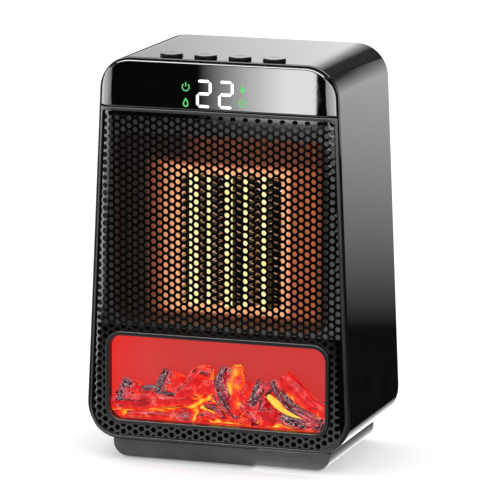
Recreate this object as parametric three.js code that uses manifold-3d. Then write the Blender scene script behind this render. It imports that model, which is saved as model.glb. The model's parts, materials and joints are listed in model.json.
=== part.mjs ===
// Ceramic space heater with a flame-effect window, as an assembly of separate parts.
// Millimetres, +Z up, front towards -Y, +X to the right seen from the front.
// The origin is at the middle of the underside of the whole object's box.
import * as THREE from 'three';
import { mergeVertices } from 'three/addons/utils/BufferGeometryUtils.js';
import Module from 'manifold-3d';

const wasm = await Module();
wasm.setup();

// ---------------------------------------------------------------- driving dimensions
const GAP = 0.3; // clearance between neighbouring parts

const BODY_HEIGHT = 225;
const BODY_DEPTH = 98.4;
const TOP_HALF = 71; // half width of the body at its top, corners not rounded
const BOTTOM_HALF = 80.9; // the same at its bottom
const TOP_RADIUS = 19.5;
const BOTTOM_RADIUS = 21;
const WALL = 2.2;
const LIP = 0.9; // thickness of the housing around its front mouth

const CROWN = 3.5; // how far the flat front stands ahead of the housing's lip
const CROWN_RUN = 8; // width over which the front curves back at each side
const RING_PROUD = 0.3; // window frame ahead of the flat front

const FOOT_HEIGHT = 1;
const BASE_HEIGHT = 11;

const LENS_BOTTOM = 196.2;
const BAR_BOTTOM = 193.9; // bottom of the bar between the lens and the grille
const LENS_THICKNESS = 2;
const RIM = 1.7; // visible width of the bezel beside the grille
const GRILLE_RECESS = 1.5;
const GRILLE_THICKNESS = 1.2;

const WINDOW_HALF = 65.5;
const WINDOW_BOTTOM = 12.6;
const WINDOW_TOP = 62.4;
const WINDOW_RADIUS = 7.6;
const RING_WIDTH = 2.4;
const CHAMBER_BACK = 9.8; // depth of the window's backdrop behind the lip

const HEATER_HALF = 34.75;
const HEATER_BOTTOM = 75;
const HEATER_TOP = 159;
const HEATER_FRONT = 19.5;
const HEATER_BACK = 34.5;
const BARS = [[-21.6, 5.8], [-12.5, 2.4], [-1.1, 5.4], [9.6, 2.4], [20.4, 4.2]]; // centre and width of each

const BUTTON_PITCH = 20.6;
const BUTTON_MIDDLE = -0.55; // the row of buttons is a little left of the body's centre
const BUTTON_RADIUS = 6.5;
const BUTTON_DEPTH = 9.5; // centre of the buttons behind the lip
const BUTTON_PROUD = 2;

const FAN_MIDDLE = 114; // height of the fan's axis above the body's underside
const FAN_RADIUS = 40;
const BLADES = 7;
const SHAFT_RADIUS = 1.4;

// ---------------------------------------------------------------- places worked out from them
const BODY_Z = FOOT_HEIGHT + BASE_HEIGHT; // underside of the body
const TOTAL_DEPTH = BODY_DEPTH + CROWN + RING_PROUD;
const LIP_Y = CROWN + RING_PROUD - TOTAL_DEPTH / 2; // plane of the housing's front lip
const LIP_DEPTH = 4.3; // the bezel sits this deep in the housing's mouth
const COVER_FRONT = 94.2;
const COVER_BACK = 96.9;

const group = new THREE.Group();

// ---------------------------------------------------------------- outlines and solids
// Outlines are lists of points, anticlockwise. A corner is [x, y, radius].
function rounded(corners, steps = 6) {
  const points = [];
  corners.forEach(([x, y, radius], i) => {
    const here = new THREE.Vector2(x, y);
    if (radius === 0) {
      points.push(here);
      return;
    }
    const before = corners[(i + corners.length - 1) % corners.length];
    const after = corners[(i + 1) % corners.length];
    const back = new THREE.Vector2(before[0], before[1]).sub(here).normalize();
    const ahead = new THREE.Vector2(after[0], after[1]).sub(here).normalize();
    const half = Math.acos(back.dot(ahead)) / 2;
    const middle = back.clone().add(ahead).normalize();
    const centre = here.clone().addScaledVector(middle, radius / Math.sin(half));
    const start = here.clone().addScaledVector(back, radius / Math.tan(half)).sub(centre);
    const sweep = Math.PI - 2 * half;
    for (let k = 0; k <= steps; k += 1) {
      const angle = start.angle() + (sweep * k) / steps;
      points.push(new THREE.Vector2(Math.cos(angle), Math.sin(angle)).multiplyScalar(radius).add(centre));
    }
  });
  return points;
}

function rectangle(x0, x1, z0, z1, radius = 0, steps = 4) {
  return rounded([[x0, z0, radius], [x1, z0, radius], [x1, z1, radius], [x0, z1, radius]], steps);
}

function circle(x, z, radius, sides = 24) {
  const turn = (k) => (2 * Math.PI * k) / sides;
  const point = (k) => new THREE.Vector2(x + radius * Math.cos(turn(k)), z + radius * Math.sin(turn(k)));
  return Array.from({ length: sides }, (_, k) => point(k));
}

// Half width of the body at a height above its underside.
function halfWidth(z) {
  return BOTTOM_HALF + ((TOP_HALF - BOTTOM_HALF) * z) / BODY_HEIGHT;
}

// The body's front view, moved inwards by inset all round, between two heights.
function bodyOutline(inset, low = inset, high = BODY_HEIGHT - inset, topRadius = TOP_RADIUS - inset) {
  const bottomRadius = low > inset ? 0 : BOTTOM_RADIUS - inset;
  const bottom = halfWidth(low) - inset;
  const top = halfWidth(high) - inset;
  return rounded([[-bottom, low, bottomRadius], [bottom, low, bottomRadius],
    [top, high, topRadius], [-top, high, topRadius]], 8);
}

function solid(geometry) {
  geometry.deleteAttribute('normal');
  geometry.deleteAttribute('uv');
  const merged = mergeVertices(geometry, 1e-4);
  const vertProperties = new Float32Array(merged.attributes.position.array);
  const triVerts = new Uint32Array(merged.index.array);
  return new wasm.Manifold(new wasm.Mesh({ numProp: 3, vertProperties, triVerts }));
}

function extruded(points, depth, holes) {
  const shape = new THREE.Shape(points);
  shape.holes = holes.map((hole) => new THREE.Path(hole));
  return new THREE.ExtrudeGeometry(shape, { depth, bevelEnabled: false, steps: 1 });
}

// A front-view outline [x, z] swept from depth y0 to y1 behind the lip; z is above the body's underside.
function alongY(points, y0, y1, holes = []) {
  const geometry = extruded(points, y1 - y0, holes);
  geometry.rotateX(Math.PI / 2);
  geometry.translate(0, LIP_Y + y1, BODY_Z);
  return solid(geometry);
}

// A plan outline [x, y behind the lip] swept from height z0 to z1 above the body's underside.
function alongZ(points, z0, z1, holes = []) {
  const geometry = extruded(points, z1 - z0, holes);
  geometry.translate(0, LIP_Y, BODY_Z + z0);
  return solid(geometry);
}

function block(x0, x1, y0, y1, z0, z1) {
  return alongY(rectangle(x0, x1, z0, z1), y0, y1);
}

function rod(x, y, z0, z1, radius, sides = 24) {
  return alongZ(circle(x, y, radius, sides), z0, z1);
}

function joined(...solids) {
  return solids.reduce((all, next) => all.add(next));
}

// The crowned front: everything behind a face that is flat in the middle and curves back at
// each side to meet the lip. It follows the body's sloping sides. Depth moves it backwards.
function crowned(depth) {
  const arcRadius = (CROWN_RUN ** 2 + CROWN ** 2) / (2 * CROWN);
  const arcAngle = Math.asin(CROWN_RUN / arcRadius);
  const arcSteps = 6;
  const rearY = 30;
  const plan = (half) => {
    const side = [];
    for (let k = 0; k <= arcSteps; k += 1) {
      const angle = (arcAngle * k) / arcSteps;
      const x = half - CROWN_RUN + arcRadius * Math.sin(angle);
      side.push([x, depth - CROWN + arcRadius * (1 - Math.cos(angle))]);
    }
    const left = side.map(([x, y]) => [-x, y]).reverse();
    return [[-half, rearY], ...left, ...side, [half, rearY]];
  };
  const below = -5;
  const above = BODY_HEIGHT + 5;
  return loft(plan(halfWidth(below) - LIP), below, plan(halfWidth(above) - LIP), above);
}

// A closed solid between two convex plan outlines with the same number of points.
function loft(lowPlan, lowZ, highPlan, highZ) {
  const count = lowPlan.length;
  const place = (z) => ([x, y]) => [x, LIP_Y + y, BODY_Z + z];
  const vertices = [...lowPlan.map(place(lowZ)), ...highPlan.map(place(highZ))];
  const triangles = [];
  for (let i = 0; i < count; i += 1) {
    const next = (i + 1) % count;
    triangles.push([i, next, count + next], [i, count + next, count + i]);
    if (i > 0 && i < count - 1) {
      triangles.push([0, i + 1, i], [count, count + i, count + i + 1]);
    }
  }
  const geometry = new THREE.BufferGeometry();
  geometry.setAttribute('position', new THREE.Float32BufferAttribute(vertices.flat(), 3));
  geometry.setIndex(triangles.flat());
  return solid(geometry);
}

function add(name, body, material) {
  const { vertProperties, triVerts } = body.getMesh();
  const geometry = new THREE.BufferGeometry();
  geometry.setAttribute('position', new THREE.Float32BufferAttribute(vertProperties, 3));
  geometry.setIndex(new THREE.Uint32BufferAttribute(triVerts, 1));
  const faceted = geometry.toNonIndexed();
  faceted.computeVertexNormals();
  const mesh = new THREE.Mesh(faceted, material);
  mesh.name = name;
  group.add(mesh);
}

function finish(color, roughness, metalness = 0) {
  return () => new THREE.MeshStandardMaterial({ color, roughness, metalness });
}

const GLOSS_BLACK = finish(0x0c0c0d, 0.12);
const MATTE_GREY = finish(0x2b2b2c, 0.55);
const MATTE_BLACK = finish(0x141415, 0.5);
const DARK_GREY = finish(0x3b3b3d, 0.6);
const HOT_PLASTIC = finish(0x4a3a34, 0.6);
const RED_PLASTIC = finish(0xc8262a, 0.35);
const EMBER = finish(0xe0402a, 0.3);
const WHITE_LAMP = finish(0xf4f4f4, 0.4);
const GREEN_LAMP = finish(0x35d04a, 0.4);
const BOARD = finish(0x1d5a34, 0.5);
const CERAMIC = finish(0xf3e9a8, 0.7);
const ALUMINIUM = finish(0x9a9a98, 0.4, 0.9);
const STEEL = finish(0x8b8d90, 0.35, 1);
const RUBBER = finish(0x101010, 0.9);
const RELAY_BLUE = finish(0x2a4f9e, 0.45);
const CONNECTOR = finish(0xd9d6c8, 0.5);

// ---------------------------------------------------------------- casing
function buttonX(index) {
  return BUTTON_MIDDLE + (index - 1.5) * BUTTON_PITCH;
}

const BUTTON_NAMES = ['button_power', 'button_heat', 'button_flame', 'button_timer'];
const BOSS_PLACES = [[-61, 203], [61, 203], [-68, 22], [68, 22]]; // rear cover screws
const BASE_SCREW_PLACES = [[-45, 26], [45, 26], [-45, 80], [45, 80]];
const SHANK_HOLE = 1.7;
const BOSS_FRONT = 80;
const BOSS_RADIUS = 4.2;
const WEB_HALF = 1.5;

function housing() {
  const edge = 0.8;
  const front = alongY(bodyOutline(edge / 2), 0, edge);
  const middle = alongY(bodyOutline(0), edge, BODY_DEPTH - edge);
  const back = alongY(bodyOutline(edge / 2), BODY_DEPTH - edge, BODY_DEPTH);
  let shell = joined(front, middle, back);
  shell = shell.subtract(alongY(bodyOutline(WALL), LIP_DEPTH, BODY_DEPTH + 1));
  shell = shell.subtract(alongY(bodyOutline(LIP), -1, LIP_DEPTH));
  BUTTON_NAMES.forEach((_, i) => {
    const clearance = BUTTON_RADIUS + GAP;
    const hole = rod(buttonX(i), BUTTON_DEPTH, BODY_HEIGHT - 5, BODY_HEIGHT + 1, clearance, 24);
    shell = shell.subtract(hole);
  });
  BOSS_PLACES.forEach(([x, z]) => {
    const side = Math.sign(x);
    const wall = side * (halfWidth(z) - WALL + 0.5);
    const near = Math.min(x, wall);
    const far = Math.max(x, wall);
    const web = block(near, far, BOSS_FRONT, COVER_FRONT - GAP, z - WEB_HALF, z + WEB_HALF);
    const boss = alongY(circle(x, z, BOSS_RADIUS, 12), BOSS_FRONT, COVER_FRONT - GAP);
    const bore = alongY(circle(x, z, SHANK_HOLE, 12), BOSS_FRONT - 1, COVER_FRONT);
    shell = joined(shell, web, boss).subtract(bore);
  });
  BASE_SCREW_PLACES.forEach(([x, y]) => {
    shell = joined(shell, rod(x, y, WALL - 0.5, WALL + 6, BOSS_RADIUS, 12));
    shell = shell.subtract(rod(x, y, -1, WALL + 7, SHANK_HOLE, 12));
  });
  return shell;
}

function bezelOpening(inset) {
  return bodyOutline(inset, inset, BAR_BOTTOM - (inset - LIP - GAP - RIM), 1.8);
}

const DISPLAY_LOW = 199; // the bezel is open behind the lens between these heights
const DISPLAY_HIGH = 217;

function frontBezel() {
  const inset = LIP + GAP;
  const blank = alongY(bodyOutline(inset), -CROWN - 1, LIP_DEPTH - GAP).intersect(crowned(0));
  const overLens = block(-90, 90, -10, 20, LENS_BOTTOM - GAP, BODY_HEIGHT + 5);
  const lensSeat = overLens.subtract(crowned(LENS_THICKNESS + GAP));
  const opening = alongY(bezelOpening(inset + RIM), -CROWN - 2, LIP_DEPTH + 1);
  const displayWindow = block(-27, 24, -10, 10, DISPLAY_LOW, DISPLAY_HIGH);
  const buttonRoom = block(-40, 40, 2, 10, DISPLAY_HIGH, BODY_HEIGHT);
  return blank.subtract(lensSeat).subtract(opening).subtract(displayWindow).subtract(buttonRoom);
}

function displayLens() {
  const outline = bodyOutline(LIP + GAP, LENS_BOTTOM);
  const blank = alongY(outline, -CROWN - 1, LENS_THICKNESS + 1);
  return blank.intersect(crowned(0)).subtract(crowned(LENS_THICKNESS));
}

function frontGrille() {
  const outline = bezelOpening(LIP + GAP + RIM + GAP);
  const blank = alongY(outline, -CROWN - 1, LIP_DEPTH);
  const behind = crowned(GRILLE_RECESS + GRILLE_THICKNESS);
  const sheet = blank.intersect(crowned(GRILLE_RECESS)).subtract(behind);
  return sheet.subtract(alongY(windowOutline(RING_WIDTH + GAP), -10, 10));
}

// ---------------------------------------------------------------- flame window
function windowOutline(grow, steps = 6) {
  const half = WINDOW_HALF + grow;
  const radius = WINDOW_RADIUS + grow;
  return rectangle(-half, half, WINDOW_BOTTOM - grow, WINDOW_TOP + grow, radius, steps);
}

const FLANGE_FRONT = GRILLE_RECESS + GRILLE_THICKNESS - CROWN + GAP;
const FLANGE_BACK = FLANGE_FRONT + 1.7;

function windowFrame() {
  const ring = alongY(windowOutline(RING_WIDTH), -CROWN - RING_PROUD, FLANGE_BACK);
  const flange = alongY(windowOutline(RING_WIDTH + 1.3), FLANGE_FRONT, FLANGE_BACK);
  return joined(ring, flange).subtract(alongY(windowOutline(0), -10, 10));
}

function flameChamber() {
  const shell = alongY(windowOutline(2.2), FLANGE_BACK + GAP, CHAMBER_BACK + 2.2);
  return shell.subtract(alongY(windowOutline(0), -1, CHAMBER_BACK));
}

// One tapered log of the ember bed, from one end [x, y, z] to the other.
function log(from, to, radiusFrom, radiusTo) {
  const start = new THREE.Vector3(...from);
  const along = new THREE.Vector3(...to).sub(start);
  const geometry = new THREE.CylinderGeometry(radiusTo, radiusFrom, along.length(), 9);
  geometry.translate(0, along.length() / 2, 0);
  const up = new THREE.Vector3(0, 1, 0);
  geometry.applyQuaternion(new THREE.Quaternion().setFromUnitVectors(up, along.normalize()));
  geometry.translate(start.x, LIP_Y + start.y, BODY_Z + start.z);
  return solid(geometry);
}

function emberBed() {
  const floor = block(-66, 66, 1.6, CHAMBER_BACK - GAP, 10, 17);
  const logs = [
    log([-61, 5, 22], [-51, 6, 35], 5, 4.5),
    log([-66, 5, 19], [-3, 5, 26], 5, 5.5),
    log([-36, 6, 25], [-25, 7, 41], 4.5, 5),
    log([-20, 4, 20], [-20, 8, 27], 5, 5),
    log([-16, 6, 24], [-6, 7, 43], 5, 3.5),
    log([9, 5, 17], [0, 6, 45], 6.5, 5),
    log([13, 6, 20], [11, 7, 47], 5, 3.5),
    log([17, 5, 18], [30, 6, 38], 6.5, 5.5),
    log([60, 5, 24], [37, 6, 43], 5.5, 4.5),
    log([30, 3, 18], [42, 8, 24], 5.5, 5.5),
    log([48, 5, 18], [65, 5, 15], 5.5, 5),
  ];
  const room = alongY(windowOutline(-GAP), 0.8, CHAMBER_BACK - GAP);
  return joined(floor, ...logs).intersect(room);
}

function flameLedBoard() {
  const boardFront = CHAMBER_BACK + 6.2;
  let board = block(-58, 58, boardFront, boardFront + 1.6, 15, 38);
  for (let i = 0; i < 6; i += 1) {
    const x = (i - 2.5) * 19;
    board = joined(board, block(x - 2.5, x + 2.5, boardFront - 1.6, boardFront + 0.5, 24, 29));
  }
  return board;
}

// ---------------------------------------------------------------- display and buttons
const BOARD_THICKNESS = 1.6;
const DISPLAY_BOARD_FRONT = 5;
const DIGIT_FRONT = LENS_THICKNESS + GAP - CROWN;

function displayBoard() {
  return block(-36, 34, DISPLAY_BOARD_FRONT, DISPLAY_BOARD_FRONT + BOARD_THICKNESS, 196, 216.5);
}

// Two figures of seven raised bars each, on one moulded block.
function digitModule() {
  const middleZ = 208;
  const barLong = 3;
  const barWide = 0.7;
  const height = 7.2;
  let module = block(-14.4, 12.6, DIGIT_FRONT + 0.4, DISPLAY_BOARD_FRONT - GAP, 199.5, 216.5);
  [-6.9, 5.1].forEach((x) => {
    [-height, 0, height].forEach((rise) => {
      const z = middleZ + rise;
      const level = block(x - barLong, x + barLong, DIGIT_FRONT, 1, z - barWide, z + barWide);
      module = joined(module, level);
    });
    [-1, 1].forEach((side) => {
      [-1, 1].forEach((end) => {
        const z = middleZ + (end * height) / 2;
        const barX = x + side * (barLong + 1);
        const upright = block(barX - barWide, barX + barWide, DIGIT_FRONT, 1, z - 2.7, z + 2.7);
        module = joined(module, upright);
      });
    });
  });
  return module;
}

// A light guide behind one column of two indicator symbols.
function iconLamp(x) {
  const upper = alongY(circle(x, 210, 2.6, 16), DIGIT_FRONT, DISPLAY_BOARD_FRONT - GAP);
  const lower = alongY(circle(x, 202, 2.6, 16), DIGIT_FRONT, DISPLAY_BOARD_FRONT - GAP);
  return joined(upper, lower, block(x - 1, x + 1, 1, DISPLAY_BOARD_FRONT - GAP, 202, 210));
}

const BUTTON_FLANGE_TOP = BODY_HEIGHT - WALL - GAP;
const BUTTON_FOOT = BUTTON_FLANGE_TOP - 1.7;

function button(index) {
  const x = buttonX(index);
  const cap = rod(x, BUTTON_DEPTH, BUTTON_FOOT, BODY_HEIGHT + BUTTON_PROUD - 0.5, BUTTON_RADIUS, 24);
  const crown = rod(x, BUTTON_DEPTH, BODY_HEIGHT, BODY_HEIGHT + BUTTON_PROUD, BUTTON_RADIUS - 0.5, 24);
  const flange = rod(x, BUTTON_DEPTH, BUTTON_FOOT, BUTTON_FLANGE_TOP, BUTTON_RADIUS + 0.9, 24);
  return joined(cap, crown, flange);
}

function buttonBoard() {
  const boardTop = BODY_HEIGHT - 10;
  let board = block(-42, 42, 7.2, 22, boardTop - BOARD_THICKNESS, boardTop);
  BUTTON_NAMES.forEach((_, i) => {
    const x = buttonX(i);
    const base = block(x - 2, x + 2, BUTTON_DEPTH - 2, BUTTON_DEPTH + 2, boardTop - 0.5, boardTop + 3.4);
    const stem = rod(x, BUTTON_DEPTH, boardTop + 3, BUTTON_FOOT - 1.1, 1.2, 12);
    board = joined(board, base, stem);
  });
  return board;
}

// ---------------------------------------------------------------- air path and heater
const MOUTH_HALF = 64;
const MOUTH_BOTTOM = 69.5;
const MOUTH_TOP = 180.5;
const MOUTH_RADIUS = 8;
const BAFFLE_BACK = LIP_DEPTH + 1.5;
const DUCT_BACK = 24;

function mouthOutline(grow) {
  const half = MOUTH_HALF + grow;
  return rectangle(-half, half, MOUTH_BOTTOM - grow, MOUTH_TOP + grow, MOUTH_RADIUS + grow, 6);
}

function heaterOutline(grow) {
  return rectangle(-HEATER_HALF - grow, HEATER_HALF + grow, HEATER_BOTTOM - grow, HEATER_TOP + grow);
}

function frontBaffle() {
  const plate = bodyOutline(WALL + GAP, 67, 190, 0);
  return alongY(plate, LIP_DEPTH + GAP, BAFFLE_BACK, [mouthOutline(0)]);
}

function airDuct() {
  const tray = alongY(mouthOutline(2), BAFFLE_BACK + GAP, DUCT_BACK);
  const hollow = alongY(mouthOutline(0), 0, DUCT_BACK - 2);
  return tray.subtract(hollow).subtract(alongY(heaterOutline(GAP), 0, 40));
}

const FRAME_SIDE = 3;

function heaterFrame() {
  return alongY(heaterOutline(0), HEATER_FRONT, HEATER_BACK, [heaterOutline(-FRAME_SIDE)]);
}

const CORE_BOTTOM = HEATER_BOTTOM + FRAME_SIDE + GAP;
const CORE_TOP = HEATER_TOP - FRAME_SIDE - GAP;

function ptcBar([x, width]) {
  return block(x - width / 2, x + width / 2, HEATER_FRONT + 1, HEATER_BACK - 1, CORE_BOTTOM, CORE_TOP);
}

// A corrugated aluminium strip that fills one column beside the ceramic bars.
function finPack(index) {
  const frameSide = HEATER_HALF - FRAME_SIDE - GAP;
  const edge = (bar, side) => bar[0] + side * (bar[1] / 2 + GAP);
  const low = index === 0 ? -frameSide : edge(BARS[index - 1], 1);
  const high = index === BARS.length ? frameSide : edge(BARS[index], -1);
  const folds = 32;
  const tip = 2; // width of each fold's tip
  const rise = (CORE_TOP - CORE_BOTTOM) / folds;
  const chain = (even, odd) => Array.from({ length: folds + 1 }, (_, k) => {
    return new THREE.Vector2(k % 2 === 0 ? even : odd, CORE_BOTTOM + k * rise);
  });
  const points = [...chain(low + tip, high), ...chain(low, high - tip).reverse()];
  return alongY(points, HEATER_FRONT + 1.5, HEATER_BACK - 1.5);
}

function thermalCutout() {
  const z = HEATER_TOP + GAP;
  return joined(rod(0, 30, z, z + 3, 4.5, 20), block(-9, 9, 28.5, 31.5, z, z + 0.8));
}

// ---------------------------------------------------------------- fan
const SHROUD_BACK = 60;
const TUNNEL_FRONT = 38;
const FUNNEL_HALF = 48;
const POCKET_GROW = 7; // room round the heater inside the funnel
const HUB_RADIUS = 12.5;
const MOTOR_RADIUS = 13.5;

function fanShroud() {
  const inner = FAN_RADIUS + 1.5;
  const outer = FAN_RADIUS + 4;
  const low = HEATER_BOTTOM - POCKET_GROW;
  const high = HEATER_TOP + POCKET_GROW;
  const funnel = block(-FUNNEL_HALF, FUNNEL_HALF, DUCT_BACK + GAP, TUNNEL_FRONT, low, high);
  const tunnel = alongY(circle(0, FAN_MIDDLE, outer, 40), TUNNEL_FRONT - 2, SHROUD_BACK);
  const air = alongY(circle(0, FAN_MIDDLE, inner, 40), TUNNEL_FRONT - 2, SHROUD_BACK + 1);
  const pocket = alongY(heaterOutline(POCKET_GROW), DUCT_BACK, TUNNEL_FRONT - 2);
  let shroud = joined(funnel, tunnel).subtract(air).subtract(pocket);
  for (let arm = 0; arm < 3; arm += 1) {
    const angle = Math.PI / 2 + (arm * 2 * Math.PI) / 3;
    const rib = rectangle(0, FAN_RADIUS + 2, -2.5, 2.5);
    rib.forEach((point) => {
      point.rotateAround(new THREE.Vector2(0, 0), angle);
      point.y += FAN_MIDDLE;
    });
    shroud = joined(shroud, alongY(rib, SHROUD_BACK - 3, SHROUD_BACK));
  }
  shroud = joined(shroud, alongY(circle(0, FAN_MIDDLE, 14), SHROUD_BACK - 3, SHROUD_BACK));
  return shroud.subtract(alongY(circle(0, FAN_MIDDLE, 3.2, 20), SHROUD_BACK - 4, SHROUD_BACK + 1));
}

const FAN_FRONT = 42.5;
const FAN_BACK = 55.5;

function shaftBore(y0, y1) {
  return alongY(circle(0, FAN_MIDDLE, SHAFT_RADIUS + GAP, 16), y0, y1);
}

function fanImpeller() {
  const hub = alongY(circle(0, FAN_MIDDLE, HUB_RADIUS, 28), FAN_FRONT, FAN_BACK);
  const middleY = (FAN_FRONT + FAN_BACK) / 2;
  const pitch = THREE.MathUtils.degToRad(38);
  let fan = hub;
  for (let i = 0; i < BLADES; i += 1) {
    const blade = new THREE.BoxGeometry(15, 1.4, FAN_RADIUS - 9, 1, 1, 1);
    blade.rotateZ(pitch);
    blade.translate(0, 0, (FAN_RADIUS + 9) / 2);
    blade.rotateY((2 * Math.PI * i) / BLADES);
    blade.translate(0, LIP_Y + middleY, BODY_Z + FAN_MIDDLE);
    fan = joined(fan, solid(blade));
  }
  const swept = alongY(circle(0, FAN_MIDDLE, FAN_RADIUS, 48), FAN_FRONT, FAN_BACK);
  return fan.intersect(swept).subtract(shaftBore(FAN_FRONT - 1, FAN_BACK + 1));
}

function motorShaft() {
  return alongY(circle(0, FAN_MIDDLE, SHAFT_RADIUS, 16), FAN_FRONT + 1, SHROUD_BACK + 7.5);
}

function fanMotor() {
  const front = SHROUD_BACK + GAP;
  const can = alongY(circle(0, FAN_MIDDLE, MOTOR_RADIUS, 32), front, front + 20);
  const tail = alongY(circle(0, FAN_MIDDLE, 5, 20), front + 19, front + 23);
  return joined(can, tail).subtract(shaftBore(front - 1, front + 8));
}

// ---------------------------------------------------------------- electrics
const MAIN_BOARD_FRONT = 21;
const MAIN_BOARD_BACK = MAIN_BOARD_FRONT + BOARD_THICKNESS;

function mainBoard() {
  const board = block(-58, 58, MAIN_BOARD_FRONT, MAIN_BOARD_BACK, 12, 60);
  const chip = block(-6, 6, MAIN_BOARD_BACK - 0.5, MAIN_BOARD_BACK + 1.6, 40, 52);
  return joined(board, chip);
}

function relay(x) {
  return block(x - 9.5, x + 9.5, MAIN_BOARD_BACK + GAP, MAIN_BOARD_BACK + 15.8, 36, 51.5);
}

function supplyCapacitor() {
  return alongY(circle(50, 24, 5.5, 24), MAIN_BOARD_BACK + GAP, MAIN_BOARD_BACK + 16);
}

function terminalBlock() {
  let terminals = block(-20, 12, 76, 88, WALL + GAP, 15);
  [-14, -4, 6].forEach((x) => {
    terminals = terminals.subtract(rod(x, 82, 9, 16, 2.6, 16));
  });
  return terminals;
}

function tiltSwitch() {
  return joined(block(-30, -16, 56, 70, WALL + GAP, 6), rod(-23, 63, 5, 16, 5.5, 20));
}

// ---------------------------------------------------------------- rear
const INLET_X = 38;
const INLET_Z = 24;
const INLET_RADIUS = 6.2;
const SCREW_HEAD = 3.1;

function rearCover() {
  let cover = alongY(bodyOutline(WALL + GAP), COVER_FRONT, COVER_BACK);
  const slots = 13;
  for (let row = 0; row < slots; row += 1) {
    const z = FAN_MIDDLE + (row - (slots - 1) / 2) * 6.5;
    [[-44, -2], [2, 44]].forEach(([x0, x1]) => {
      cover = cover.subtract(alongY(rectangle(x0, x1, z - 1.5, z + 1.5, 1.4, 1), 90, 100));
    });
  }
  BOSS_PLACES.forEach(([x, z]) => {
    cover = cover.subtract(alongY(circle(x, z, SHANK_HOLE, 12), 90, 100));
    cover = cover.subtract(alongY(circle(x, z, SCREW_HEAD + GAP, 16), COVER_BACK - 1.5, 100));
  });
  return cover.subtract(alongY(circle(INLET_X, INLET_Z, INLET_RADIUS + GAP, 28), 90, 100));
}

function rearScrew([x, z]) {
  const headFront = COVER_BACK - 1.5 + GAP;
  const head = alongY(circle(x, z, SCREW_HEAD, 20), headFront, headFront + 1.7);
  const cross = joined(block(x - 2, x + 2, headFront + 0.9, 100, z - 0.4, z + 0.4),
    block(x - 0.4, x + 0.4, headFront + 0.9, 100, z - 2, z + 2));
  return joined(head, alongY(circle(x, z, SHANK_HOLE - GAP, 12), 84, headFront + 0.5)).subtract(cross);
}

// The grommet that a mains lead passes through.
function cordInlet() {
  const neck = alongY(circle(INLET_X, INLET_Z, INLET_RADIUS, 28), COVER_FRONT - 2, COVER_BACK + 1);
  const flange = alongY(circle(INLET_X, INLET_Z, INLET_RADIUS + 2, 28), COVER_BACK + GAP, BODY_DEPTH);
  return joined(neck, flange).subtract(alongY(circle(INLET_X, INLET_Z, 3.6, 24), 90, 100));
}

// ---------------------------------------------------------------- base
const BASE_HALF = 66;
const BASE_RADIUS = 8.5;
const BASE_FRONT = 5;
const BASE_BACK = 94;
const BASE_WALL = 2.2;
const PLATE_THICKNESS = 1.8;
const FOOT_PLACES = [[-49.5, 15], [49.5, 15], [-49.5, 84], [49.5, 84]];

function baseOutline(inset, top) {
  const half = BASE_HALF - inset;
  const bottom = inset - BASE_HEIGHT;
  const radius = Math.max(BASE_RADIUS - inset, 1);
  return rounded([[-half, bottom, radius], [half, bottom, radius], [half, top, 0], [-half, top, 0]]);
}

function base() {
  const roof = -GAP - BASE_WALL;
  const front = BASE_FRONT + BASE_WALL;
  const back = BASE_BACK - BASE_WALL;
  const upper = BASE_HALF - BASE_WALL;
  const lower = BASE_HALF - BASE_RADIUS;
  let shell = alongY(baseOutline(0, -GAP), BASE_FRONT, BASE_BACK);
  shell = shell.subtract(block(-upper, upper, front, back, -BASE_HEIGHT + 7, roof));
  shell = shell.subtract(block(-lower, lower, front, back, -BASE_HEIGHT - 1, roof));
  BASE_SCREW_PLACES.forEach(([x, y]) => {
    shell = shell.subtract(rod(x, y, roof - 1, 1, SHANK_HOLE, 12));
  });
  return shell;
}

function basePlate() {
  const half = BASE_HALF - BASE_RADIUS - GAP;
  const front = BASE_FRONT + BASE_WALL + GAP;
  const back = BASE_BACK - BASE_WALL - GAP;
  let plate = block(-half, half, front, back, -BASE_HEIGHT, -BASE_HEIGHT + PLATE_THICKNESS);
  FOOT_PLACES.forEach(([x, y]) => {
    plate = plate.subtract(rod(x, y, -BASE_HEIGHT - 1, 0, 2.2, 12));
  });
  return plate;
}

function baseScrew([x, y]) {
  const headTop = -2 * GAP - BASE_WALL;
  const head = rod(x, y, headTop - 1.6, headTop, SCREW_HEAD, 20);
  return joined(head, rod(x, y, headTop - 0.5, WALL + 5, SHANK_HOLE - GAP, 12));
}

function foot([x, y]) {
  const pad = rod(x, y, -BODY_Z, -BASE_HEIGHT - GAP, 4.7, 24);
  const stem = rod(x, y, -BASE_HEIGHT - 0.5, -BASE_HEIGHT + PLATE_THICKNESS + 0.8, 1.9, 16);
  return joined(pad, stem);
}

// ---------------------------------------------------------------- assembly
add('housing', housing(), GLOSS_BLACK());
add('front_bezel', frontBezel(), MATTE_GREY());
add('display_lens', displayLens(), GLOSS_BLACK());
add('front_grille', frontGrille(), MATTE_BLACK());
add('window_frame', windowFrame(), MATTE_GREY());
add('flame_chamber', flameChamber(), RED_PLASTIC());
add('ember_bed', emberBed(), EMBER());
add('flame_led_board', flameLedBoard(), BOARD());

add('display_board', displayBoard(), BOARD());
add('digit_module', digitModule(), WHITE_LAMP());
add('icon_lamp_left', iconLamp(-18.4), GREEN_LAMP());
add('icon_lamp_right', iconLamp(16.2), GREEN_LAMP());
BUTTON_NAMES.forEach((name, i) => add(name, button(i), GLOSS_BLACK()));
add('button_board', buttonBoard(), BOARD());

add('front_baffle', frontBaffle(), DARK_GREY());
add('air_duct', airDuct(), HOT_PLASTIC());
add('heater_frame', heaterFrame(), ALUMINIUM());
BARS.forEach((bar, i) => add(`ptc_bar_${i + 1}`, ptcBar(bar), CERAMIC()));
for (let i = 0; i <= BARS.length; i += 1) {
  add(`fin_pack_${i + 1}`, finPack(i), ALUMINIUM());
}
add('thermal_cutout', thermalCutout(), STEEL());

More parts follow.
